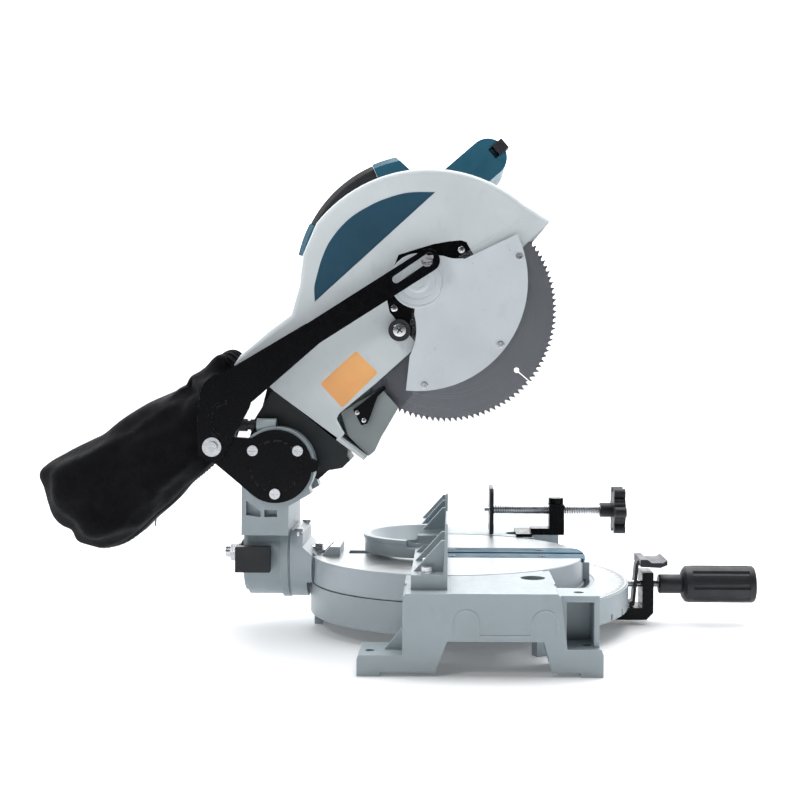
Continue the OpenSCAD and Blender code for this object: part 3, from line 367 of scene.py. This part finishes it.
def ring_faces(level, sides, flip=False):
    """The faces between ring level and the next one, turned inside out if flip."""
    here, above = level * sides, (level + 1) * sides
    faces = [(here + k, here + (k + 1) % sides, above + (k + 1) % sides, above + k) for k in range(sides)]
    return [(a, d, c, b) for a, b, c, d in faces] if flip else faces


PLATE_INSET = 0.985  # size of a plate's front face against its outline
PLATE_EDGE = 0.35  # depth of its bevelled edge in mm


def shrunk(outline, by):
    """A closed outline scaled about the mean of its points."""
    middle = [sum(p[i] for p in outline) / len(outline) for i in (0, 1)]
    return [(middle[0] + (p[0] - middle[0]) * by, middle[1] + (p[1] - middle[1]) * by) for p in outline]


def plate(name, outline, x_back, x_front, body):
    """A thin plate on a side face: outline is [(y, z)] in mm, x_front the outer face."""
    count = len(outline)
    inset = shrunk(outline, PLATE_INSET)
    edge = x_front + (PLATE_EDGE if x_front < x_back else -PLATE_EDGE)
    rings = [[(x_back, *p) for p in outline], [(edge, *p) for p in outline], [(x_front, *p) for p in inset]]
    verts = [spot(*v) for ring in rings for v in ring]
    faces = []
    for level in range(2):
        faces += ring_faces(level, count)
    faces.append(tuple(range(2 * count, 3 * count)))
    faces.append(tuple(reversed(range(count))))
    return piece(name, verts, faces, None, body, False)


def rounded(points, radius, steps=5):
    """Rounds the corners of a closed outline."""
    out = []
    count = len(points)
    for i, here in enumerate(points):
        here = Vector(here)
        before = (Vector(points[i - 1]) - here).normalized()
        after = (Vector(points[(i + 1) % count]) - here).normalized()
        start, end = here + before * radius, here + after * radius
        for k in range(steps + 1):
            t = k / steps
            out.append(tuple(start.lerp(here, t).lerp(here.lerp(end, t), t)))
    return out


def bake(obj):
    """Applies an object's modifiers."""
    view = bpy.context.evaluated_depsgraph_get()
    made = bpy.data.meshes.new_from_object(obj.evaluated_get(view), depsgraph=view)
    obj.modifiers.clear()
    obj.data = made


def copy_of(node, name):
    obj = bpy.data.objects.new(name, NODES[node].data.copy())
    bpy.context.scene.collection.objects.link(obj)
    return obj


# The shell over the blade: the CAD solid with its outer edges rounded as the casting's are
DOME_AT = (22.0, 272.0)
DOME_R = 160.3
SHELL_NEAR, SHELL_FAR = -39.0, 22.0
SHELL_TAIL = (155, 214)  # beyond both, in y and z, the outline is all outer rim
NEAR_ROUND, FAR_ROUND = 0.0075, 0.0055
RIM_SPARE, FACE_SPARE = 0.6, 0.03  # how near the rim and the side face a point has to be
CORNER = 0.9  # the least turn of an outer edge, in radians


def on_outside(y, z):
    """Whether a point of the shell's outline lies on its outer rim."""
    from_centre = math.hypot(y - DOME_AT[0], z - DOME_AT[1])
    if from_centre > DOME_R - RIM_SPARE and z > DOME_AT[1]:
        return True
    return y > SHELL_TAIL[0] and z > SHELL_TAIL[1]


def outer_edges(bm, x):
    found = []
    for edge in bm.edges:
        ends = [(v.co - TABLE) / MM for v in edge.verts]
        if any(abs(e.x - x) > FACE_SPARE for e in ends) or len(edge.link_faces) != 2:
            continue
        if all(on_outside(e.y, e.z) for e in ends) and edge.calc_face_angle(0.0) > CORNER:
            found.append(edge)
    return found


def round_shell():
    obj = copy_of("upper_guard", "guard_shell")
    bm = bmesh.new()
    bm.from_mesh(obj.data)
    bmesh.ops.remove_doubles(bm, verts=bm.verts, dist=WELD_GAP)
    bmesh.ops.dissolve_limit(bm, angle_limit=math.radians(0.5), verts=bm.verts, edges=bm.edges)
    for x, size in ((SHELL_NEAR, NEAR_ROUND), (SHELL_FAR, FAR_ROUND)):
        bmesh.ops.bevel(bm, geom=outer_edges(bm, x), offset=size, segments=6, affect="EDGES", profile=0.5,
                        clamp_overlap=False)
    bmesh.ops.triangulate(bm, faces=[f for f in bm.faces if len(f.verts) > 4])
    for face in bm.faces:
        face.smooth = True
    bm.to_mesh(obj.data)
    bm.free()
    dress(obj, "shell_paint")
    soften(obj, 0.0006)
    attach(obj, "head")
    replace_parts(obj, "upper_guard")


def smooth_curve(points, steps=6):
    """Points along a Catmull-Rom curve through the given ones."""
    ends = [points[0], *points, points[-1]]
    out = []
    for a, b, c, d in zip(ends, ends[1:], ends[2:], ends[3:]):
        for k in range(steps):
            t = k / steps
            weights = (-t**3 + 2 * t**2 - t, 3 * t**3 - 5 * t**2 + 2, -3 * t**3 + 4 * t**2 + t, t**3 - t**2)
            out.append(tuple(sum(w * p[i] for w, p in zip(weights, (a, b, c, d))) / 2 for i in (0, 1)))
    return out + [points[-1]]


BADGE_FACE = 0.975  # size of the teal face against its rim
BADGE_TIPS = ((149.7, 281.2), (13.8, 406.4))
BADGE_ARC = ((150.6, 296.0), (148.4, 307.8), (142.0, 331.0), (131.8, 352.1), (112.0, 375.0), (87.5, 390.9),
             (66.0, 400.0), (43.2, 405.8))


def add_badge():
    """A plain half-moon badge: the maker's lettering is left out."""
    outline = smooth_curve([BADGE_TIPS[0], *BADGE_ARC, BADGE_TIPS[1]])
    rim = plate("badge_rim", outline, SHELL_NEAR + 0.2, SHELL_NEAR - 0.5, "head")
    dress(rim, "badge_rim")
    face = plate("badge_face", shrunk(outline, BADGE_FACE), SHELL_NEAR - 0.2, SHELL_NEAR - 0.9, "head")
    dress(face, "badge")


LABEL = ((103.0, 228.9), (78.2, 204.8), (117.7, 165.2), (142.5, 192.1))


def add_label():
    """A blank sticker where the photograph has one: its words are left out."""
    obj = plate("label_blank", rounded(LABEL, 3.0), SHELL_NEAR + 0.1, SHELL_NEAR - 0.25, "head")
    dress(obj, "label")


TICK_Z = -27.5  # the scale's face, below the table top
TICK_BOTTOM, TICK_TOP = -0.05, 0.07
TICK_RIM = 200.0
TICK_END = 50  # degrees each way
TICK_STEPS = {10: 8.5, 5: 6.5, 1: 4.0}  # length in mm at each multiple of degrees


def add_scale_ticks():
    """Plain graduations on the mitre scale, longer every 5 and 10 degrees; no numerals."""
    verts, faces = [], []
    for degree in range(-TICK_END, TICK_END + 1):
        step = next(s for s in TICK_STEPS if degree % s == 0)
        turn = math.radians(degree - 90)
        along = Vector((math.cos(turn), math.sin(turn), 0))
        across = Vector((-math.sin(turn), math.cos(turn), 0))
        half = 0.3 if step > 1 else 0.2
        inner = TICK_RIM - TICK_STEPS[step]
        start = len(verts)
        for height in (TICK_BOTTOM, TICK_TOP):
            for radius, side in ((TICK_RIM, -1), (TICK_RIM, 1), (inner, 1), (inner, -1)):
                flat = along * radius + across * side * half
                verts.append(spot(flat.x, flat.y, TICK_Z + height))
        faces += box_faces(start)
    dress(piece("scale_ticks", verts, faces, None, "base", False), "tick_ink")


ROWS_PER_TURN = 8
ROD_SIDES = 40


def threaded(name, node, centre, y0, y1, crest, root, pitch, body, ends=()):
    """A rod along Y with a rolled thread between y0 and y1, and plain ends given as (y, radius) pairs."""
    rows = int((y1 - y0) / pitch * ROWS_PER_TURN)
    profile = [(y0 + (y1 - y0) * i / rows, None) for i in range(rows + 1)]
    before = [e for e in ends if e[0] <= y0]
    after = [e for e in ends if e[0] >= y1]
    profile = before + profile + after
    verts, faces = [], []
    for y, radius in profile:
        for k in range(ROD_SIDES):
            angle = 2 * math.pi * k / ROD_SIDES
            phase = (y / pitch + k / ROD_SIDES) % 1.0
            ridge = min(1.0, 2.6 * abs(phase - 0.5) ** 1.1)
            r = radius if radius is not None else root + (crest - root) * ridge
            verts.append(spot(centre[0] + r * math.cos(angle), y, centre[1] + r * math.sin(angle)))
    for level in range(len(profile) - 1):
        faces += ring_faces(level, ROD_SIDES, True)
    faces.append(tuple(range(ROD_SIDES)))
    last = (len(profile) - 1) * ROD_SIDES
    faces.append(tuple(reversed(range(last, last + ROD_SIDES))))
    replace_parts(piece(name, verts, faces, "zinc_steel", body), node)


TURNED_EDGE = 0.00015


def lathe(name, at, profile, slot, body, sides=72):
    """A turned piece about an axis along X through at: profile is [(radius, x)] in mm, rim first."""
    verts, faces = [], []
    for radius, x in profile:
        for k in range(sides):
            angle = 2 * math.pi * k / sides
            verts.append(spot(x, at[0] + radius * math.cos(angle), at[1] + radius * math.sin(angle)))
    for level in range(len(profile) - 1):
        faces += ring_faces(level, sides)
    last = (len(profile) - 1) * sides
    faces.append(tuple(range(last, last + sides)))
    faces.append(tuple(reversed(range(sides))))
    soften(piece(name, verts, faces, slot, body), TURNED_EDGE)


def cross(name, x, y, z, size, turn, body):
    """The recess of a cross-head screw, as two dark bars at (x, y, z) in mm, turned about X."""
    verts, faces = [], []
    for angle in (turn, turn + math.pi / 2):
        start = len(verts)
        for dx in (-size[0] / 2, size[0] / 2):
            for u, v in SQUARE:
                a, b = u * size[1] / 2, v * size[2] / 2
                verts.append(spot(x + dx, y + a * math.cos(angle) - b * math.sin(angle),
                                  z + a * math.sin(angle) + b * math.cos(angle)))
        faces += box_faces(start)
    dress(piece(name, verts, faces, None, body, False), "tick_ink")


SCREWS = {  # name: (y, z, x of the head's seat, radius) in mm; all ride the head
    "roller_screw": (54.5, 251.6, -49.7, 7.2),
    "plate_screw_front": (-13.2, 341.5, -37.8, 3.9),
    "plate_screw_rear": (61.0, 276.0, -37.8, 3.9),
    "bracket_screw_upper": (101.5, 160.0, -35.6, 2.7),
    "bracket_screw_lower": (94.0, 151.5, -35.6, 2.7),
}
SCREW_CROWN = ((1.0, 0.0), (1.0, 0.25), (0.85, 0.6), (0.5, 0.85), (0.12, 0.92))  # (share of radius, height)
SCREW_TURN = math.radians(35)
RECESS = (0.3, 1.15, 0.2)  # depth in mm, and length and width as shares of the radius


def add_screw_faces():
    """Bright crowned faces with a cross, on the heads of the screws that hold black parts."""
    for name, (y, z, x, radius) in SCREWS.items():
        profile = [(radius * share, x - height) for share, height in SCREW_CROWN]
        lathe(name, (y, z), profile, "zinc_steel", "head", 32)
        size = (RECESS[0], radius * RECESS[1], radius * RECESS[2])
        cross(name + "_cross", x - 0.8, y, z, size, SCREW_TURN, "head")


HUB_PROFILE = ((30.5, -46.9), (30.5, -47.6), (29.8, -47.8), (27.6, -47.8), (27.2, -47.5), (26.6, -47.5),
               (26.2, -47.85), (20.0, -47.85), (19.6, -47.5), (19.0, -47.5), (18.6, -48.0), (12.6, -48.1),
               (12.2, -50.0), (11.4, -50.5), (8.2, -50.6), (7.8, -50.3), (7.2, -50.3), (6.8, -50.7),
               (0.8, -50.9))


def add_hub():
    """Pressed rings round the lower guard's pivot."""
    at = (MOTOR - TABLE) / MM
    lathe("guard_hub", (at.y, at.z), HUB_PROFILE, "guard_paint", "guard", 96)


# ---------------------------------------------------------------- dust bag
BAG_VOXEL = 0.0052
BAG_FRAMES = 22
BAG_MOVE_CAP = 0.011
BAG_SPARE = 0.004  # how far the cloth may leave its CAD box
NECK = spot(-9, 252, 213)
PIN_REACH, PIN_FADE = 0.062, 0.03
FOLD_DEPTH, FINE_DEPTH = 0.0026, 0.0012
FOLD_RATE = 150  # radians a metre: a fold about every 42 mm
FOLD_FADE = 0.08  # distance from the neck at which the folds reach their full depth


def pin_neck(obj):
    """Holds the fabric fast near the neck, and less and less away from it."""
    pins = obj.vertex_groups.new(name="pins")
    for v in obj.data.vertices:
        away = (v.co - NECK).length
        weight = max(0.0, min(1.0, (PIN_REACH - away) / PIN_FADE))
        if weight > 0:
            pins.add([v.index], weight, "REPLACE")


def simulate_cloth(obj):
    """Lets the bag crumple and sag from its neck; the fabric is cut a little larger than its stuffing."""
    pin_neck(obj)
    cloth = obj.modifiers.new("cloth", "CLOTH")
    values = cloth.settings
    values.quality = 6
    values.mass = 0.25
    values.tension_stiffness = 14
    values.compression_stiffness = 9
    values.shear_stiffness = 5
    values.bending_stiffness = 0.35
    values.use_pressure = True
    values.uniform_pressure_force = 1.0
    values.vertex_group_mass = "pins"
    values.shrink_min = -0.055
    values.effector_weights.gravity = 0.35
    cloth.collision_settings.use_collision = False
    cloth.point_cache.frame_start = 1
    cloth.point_cache.frame_end = BAG_FRAMES
    for number in range(1, BAG_FRAMES + 1):
        bpy.context.scene.frame_set(number)
    bake(obj)
    bpy.context.scene.frame_set(1)


def crumple(co):
    """Soft folds that run down the bag from its neck."""
    swirl = noise.noise(Vector((co.y * 16, co.z * 16, co.x * 9))) * 1.4
    fold = math.sin((co.y * 0.62 + co.z * 0.78) * FOLD_RATE + swirl * 3.2)
    fade = min(1.0, (co - NECK).length / FOLD_FADE)
    fine = noise.noise(co * 45.0)
    return (fold * FOLD_DEPTH + fine * FINE_DEPTH) * fade


def remesh_bag(obj):
    """Gives the plain CAD bag an even, rounded skin with soft folds."""
    weld = obj.modifiers.new("weld", "WELD")
    weld.merge_threshold = WELD_GAP
    remesh = obj.modifiers.new("remesh", "REMESH")
    remesh.mode = "VOXEL"
    remesh.voxel_size = BAG_VOXEL
    relax = obj.modifiers.new("relax", "SMOOTH")
    relax.factor, relax.iterations = 0.6, 22
    bake(obj)
    normals = [v.normal.copy() for v in obj.data.vertices]
    for v, n in zip(obj.data.vertices, normals):
        v.co += n * crumple(v.co)


def limit_moves(obj, start):
    """Caps how far the cloth has moved, and keeps it near the CAD bag's box."""
    low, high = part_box("dust_bag")
    for v, before in zip(obj.data.vertices, start):
        move = v.co - before
        if move.length > BAG_MOVE_CAP:
            v.co = before + move.normalized() * BAG_MOVE_CAP
        for i in range(3):
            v.co[i] = max(low[i] - BAG_SPARE, min(high[i] + BAG_SPARE, v.co[i]))


def subdivide(obj):
    fine = obj.modifiers.new("fine", "SUBSURF")
    fine.levels = fine.render_levels = 1


def add_bag():
    """The fabric dust bag, crumpled and sagging from its neck."""
    obj = copy_of("dust_bag", "dust_bag_cloth")
    remesh_bag(obj)
    start = [v.co.copy() for v in obj.data.vertices]
    simulate_cloth(obj)
    limit_moves(obj, start)
    obj.data.polygons.foreach_set("use_smooth", [True] * len(obj.data.polygons))
    subdivide(obj)
    dress(obj, "bag_fabric")
    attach(obj, "head")
    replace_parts(obj, "dust_bag")
    return obj


def along_y(joint):
    """The x and z, in mm from TABLE, of an axis along Y."""
    at = (joint - TABLE) / MM
    return (at.x, at.z)


VISE_THREAD = (-211.5, -57.5, 5.98, 5.05, 3.0)  # from y, to y, crest radius, root radius, pitch
VISE_ENDS = ((-212.0, 5.2), (-57.0, 5.0), (-56.9, 2.5), (-46.0, 2.5))  # (y, radius)
GRIP_THREAD = (-261.5, -206.0, 3.98, 3.35, 1.5)
GRIP_ENDS = ((-262.0, 3.9), (-205.5, 3.5))


def add_threads():
    """The vise's and the grip's rods, with their threads."""
    vise_at, grip_at = along_y(joint_at("vise_turn")), along_y(joint_at("grip_turn"))
    threaded("vise_thread", "vise_screw", vise_at, *VISE_THREAD, "vise_spindle", VISE_ENDS)
    threaded("grip_thread", "grip_rod", grip_at, *GRIP_THREAD, "grip", GRIP_ENDS)


ZIP_LINE = ((252.0, 140.0), (276.0, 100.0), (306.0, 71.0), (329.7, 49.7), (354.8, 26.0), (381.4, 8.0),
            (398.0, 3.0))
ZIP_X = -9.0
ZIP_PITCH = 2.3
ZIP_PULL_SHARE = 0.6  # how far along the zip the pull sits
ZIP_SIDE = Vector((1.0, 0.0, 0.0))
TAPE_SECTION = ((-8.0, -0.9), (-4.0, 0.5), (0.0, 0.9), (4.0, 0.5), (8.0, -0.9))  # (x, lift) in mm
TOOTH = (1.9, 0.65)  # half width and half length in mm
TOOTH_LIFT = (0.6, 2.0)
TOOTH_STAGGER = 0.7
PULL_OUTLINE = ((-2.6, 0.0), (2.6, 0.0), (2.0, 17.0), (-2.0, 17.0))
PULL_ROUND, PULL_THICK = 1.4, 1.3
PULL_LIFT = 1.6  # its foot's height over the bag
PULL_RISE, PULL_LEAN = 0.35, 0.4  # how it stands out, and lies along the zip, for each mm of its length


def zip_path(bag):
    """Points on the bag's surface along the zip's line, each with its outward direction."""
    tree = BVHTree.FromObject(bag, bpy.context.evaluated_depsgraph_get())
    line = [Vector(p) for p in smooth_curve(list(ZIP_LINE), 24)]
    found, run = [], ZIP_PITCH
    for a, b in zip(line, line[1:]):
        run += (b - a).length
        if run < ZIP_PITCH:
            continue
        run = 0.0
        along = (b - a).normalized()
        out = Vector((0.0, -abs(along.y), -abs(along.x))).normalized()
        start = spot(ZIP_X, a.x, a.y) + out * 0.05
        hit = tree.ray_cast(start, -out, 0.1)[0]
        if hit is not None:
            found.append((hit, out, Vector((0.0, along.x, along.y))))
    return found


def thicken(obj, depth, offset):
    """Gives a sheet its thickness, on both sides at offset 0 and inwards at -1."""
    thick = obj.modifiers.new("thick", "SOLIDIFY")
    thick.thickness = depth
    thick.offset = offset


def add_zip_tape(path):
    width = len(TAPE_SECTION)
    verts, faces = [], []
    for i, (at, out, _) in enumerate(path):
        for x, lift in TAPE_SECTION:
            verts.append(at + ZIP_SIDE * x * MM + out * lift * MM)
        if i:
            row, before = i * width, (i - 1) * width
            faces += [(before + k, before + k + 1, row + k + 1, row + k) for k in range(width - 1)]
    thicken(piece("zip_tape", verts, faces, "bag_fabric", "head"), 0.0007, 0.0)


def add_zip_teeth(path):
    verts, faces = [], []
    for i, (at, out, along) in enumerate(path):
        start = len(verts)
        middle = at + ZIP_SIDE * (TOOTH_STAGGER if i % 2 else -TOOTH_STAGGER) * MM
        for lift in TOOTH_LIFT:
            for u, v in SQUARE:
                corner = out * lift + ZIP_SIDE * u * TOOTH[0] + along * v * TOOTH[1]
                verts.append(middle + corner * MM)
        faces += box_faces(start)
    piece("zip_teeth", verts, faces, "dark_plastic", "head", False)


def add_zip_pull(path):
    at, out, along = path[int(len(path) * ZIP_PULL_SHARE)]
    outline = rounded(PULL_OUTLINE, PULL_ROUND)
    verts = [at + out * (PULL_LIFT + d + PULL_RISE * v) * MM + ZIP_SIDE * u * MM + along * v * PULL_LEAN * MM
             for d in (0.0, PULL_THICK) for u, v in outline]
    count = len(outline)
    faces = [tuple(range(count)), tuple(reversed(range(count, 2 * count)))]
    faces += ring_faces(0, count)
    soften(piece("zip_pull", verts, faces, "black_steel", "head"), 0.0003)


def add_zip(bag):
    """A zip along the bag's lower edge: tape, teeth and a pull."""
    path = zip_path(bag)
    add_zip_tape(path)
    add_zip_teeth(path)
    add_zip_pull(path)


CUFF_AT = spot(-9, 232.5, 196.6)
CUFF_TILT = math.radians(50)  # from upright, towards the back
CUFF_WAY = Vector((0.0, math.sin(CUFF_TILT), math.cos(CUFF_TILT)))
CUFF_SIDES, CUFF_PLEATS = 120, 21
CUFF_WAVE, CUFF_WANDER = 0.035, 0.05  # depth of its pleats and of its unevenness, as shares of the radius
CUFF_RINGS = ((12.8, 18.7), (13.2, 20.4), (15.5, 21.2), (18.0, 19.9), (20.5, 19.8), (23.0, 20.6),
              (27.0, 20.0), (31.0, 17.5), (34.5, 13.0), (36.5, 7.0))  # (height, radius) in mm


def add_cuff():
    """The bag's gathered neck, held on the outlet by its elastic."""
    across = Vector((1.0, 0.0, 0.0))
    up = CUFF_WAY.cross(across)
    verts, faces = [], []
    for i, (height, radius) in enumerate(CUFF_RINGS):
        for k in range(CUFF_SIDES):
            angle = 2 * math.pi * k / CUFF_SIDES
            wander = noise.noise(Vector((math.cos(angle) * 3, math.sin(angle) * 3, height * 0.08)))
            pleat = math.sin(CUFF_PLEATS * angle + wander * 2.5)
            r = radius * (1 + CUFF_WAVE * pleat + CUFF_WANDER * wander)
            spoke = across * math.cos(angle) + up * math.sin(angle)
            verts.append(CUFF_AT + CUFF_WAY * height * MM + spoke * r * MM)
        if i:
            faces += ring_faces(i - 1, CUFF_SIDES)
    obj = piece("bag_cuff", verts, faces, "bag_fabric", "head")
    thicken(obj, 0.0012, -1.0)
    subdivide(obj)


round_shell()
add_hub()
add_screw_faces()
add_threads()
add_badge()
add_label()
add_scale_ticks()
add_zip(add_bag())
add_cuff()


# ---------------------------------------------------------------- studio
CAMERA_AT = Vector((-1.45, 0.03, 0.2972))
CAMERA_LENS = 57.3
CAMERA_SHIFT = (-0.061, -0.05)
CAMERA_ROLL = math.radians(0.35)


def add_camera():
    data = bpy.data.cameras.new("camera")
    data.lens = CAMERA_LENS
    data.sensor_width = 36.0
    data.shift_x, data.shift_y = CAMERA_SHIFT
    data.clip_start, data.clip_end = 0.05, 200.0
    camera = bpy.data.objects.new("camera", data)
    bpy.context.scene.collection.objects.link(camera)
    turn = Matrix.Rotation(math.radians(-90), 4, "Z") @ Matrix.Rotation(math.radians(90), 4, "X")
    camera.matrix_world = Matrix.Translation(CAMERA_AT) @ turn @ Matrix.Rotation(CAMERA_ROLL, 4, "Z")
    bpy.context.scene.camera = camera


def add_light(name, at, target, size, watts, colour=(1.0, 1.0, 1.0)):
    data = bpy.data.lights.new(name, "AREA")
    data.shape = "DISK"
    data.size = size
    data.energy = watts
    data.color = colour
    light = bpy.data.objects.new(name, data)
    bpy.context.scene.collection.objects.link(light)
    way = Vector(target) - Vector(at)
    light.rotation_euler = way.to_track_quat("-Z", "Y").to_euler()
    light.location = at


FLOOR_GLOW = 0.2  # lifts the floor to the wall's white, so that no horizon shows
WALL_GLOW = 4.6
DARK_SIDE = 0.05  # the room's glow on the operator's left
HORIZON_SHARE = 0.86  # the share of the glow left at the horizon and below


def ramp(tree, source, start, end, low, high):
    """A value that eases from low to high as the source goes from start to end."""
    node = tree.nodes.new("ShaderNodeMapRange")
    node.interpolation_type = "SMOOTHSTEP"
    for key, value in (("From Min", start), ("From Max", end), ("To Min", low), ("To Max", high)):
        node.inputs[key].default_value = value
    tree.links.new(source, node.inputs["Value"])
    return node.outputs[0]


def shade_world(tree):
    """A studio with one bright wall behind the saw and a dim room on the operator's left."""
    way = tree.nodes.new("ShaderNodeTexCoord").outputs["Generated"]
    split = tree.nodes.new("ShaderNodeSeparateXYZ")
    tree.links.new(way, split.inputs[0])
    both = tree.nodes.new("ShaderNodeMath")
    both.operation = "MULTIPLY"
    tree.links.new(ramp(tree, split.outputs[0], -0.25, 0.55, DARK_SIDE, WALL_GLOW), both.inputs[0])
    tree.links.new(ramp(tree, split.outputs[2], -0.02, 0.3, HORIZON_SHARE, 1.0), both.inputs[1])
    back = tree.nodes["Background"]
    back.inputs[0].default_value = (0.975, 0.985, 1.0, 1.0)
    tree.links.new(both.outputs[0], back.inputs[1])


EXPOSURE = -0.8


def add_floor():
    bpy.ops.mesh.primitive_plane_add(size=80.0, location=(0, 0, 0))
    floor = bpy.context.object
    floor.name = "floor"
    m = Mat("floor_pale", (0.9, 0.91, 0.92), 0.6)
    m.fix("Emission Color", (0.98, 0.99, 1.0, 1.0))
    m.fix("Emission Strength", FLOOR_GLOW)
    m.link(m.blend(m.remap(m.noise(1.5, 3.0), 0.3, 0.7), (0.89, 0.9, 0.91), (0.92, 0.93, 0.94)), "Base Color")
    floor.data.materials.append(m.material)


def add_studio():
    """White light from behind and above, a small key on the dome, and a view without tone mapping."""
    bpy.context.scene.view_settings.view_transform = "Standard"
    bpy.context.scene.view_settings.exposure = EXPOSURE
    world = bpy.data.worlds.new("studio")
    bpy.context.scene.world = world
    world.use_nodes = True
    shade_world(world.node_tree)
    middle = (0.0, 0.0, 0.25)
    add_light("key", (-0.95, 0.85, 1.15), (0.0, 0.0, 0.36), 0.5, 9.0)
    add_light("fill", (-1.6, -1.6, 0.8), middle, 1.4, 3.0, (0.95, 0.98, 1.0))
    add_light("top", (0.15, -0.25, 2.0), middle, 1.7, 44.0)
    add_light("back", (1.9, 0.6, 1.3), middle, 1.4, 12.0)
    add_floor()


add_camera()
add_studio()
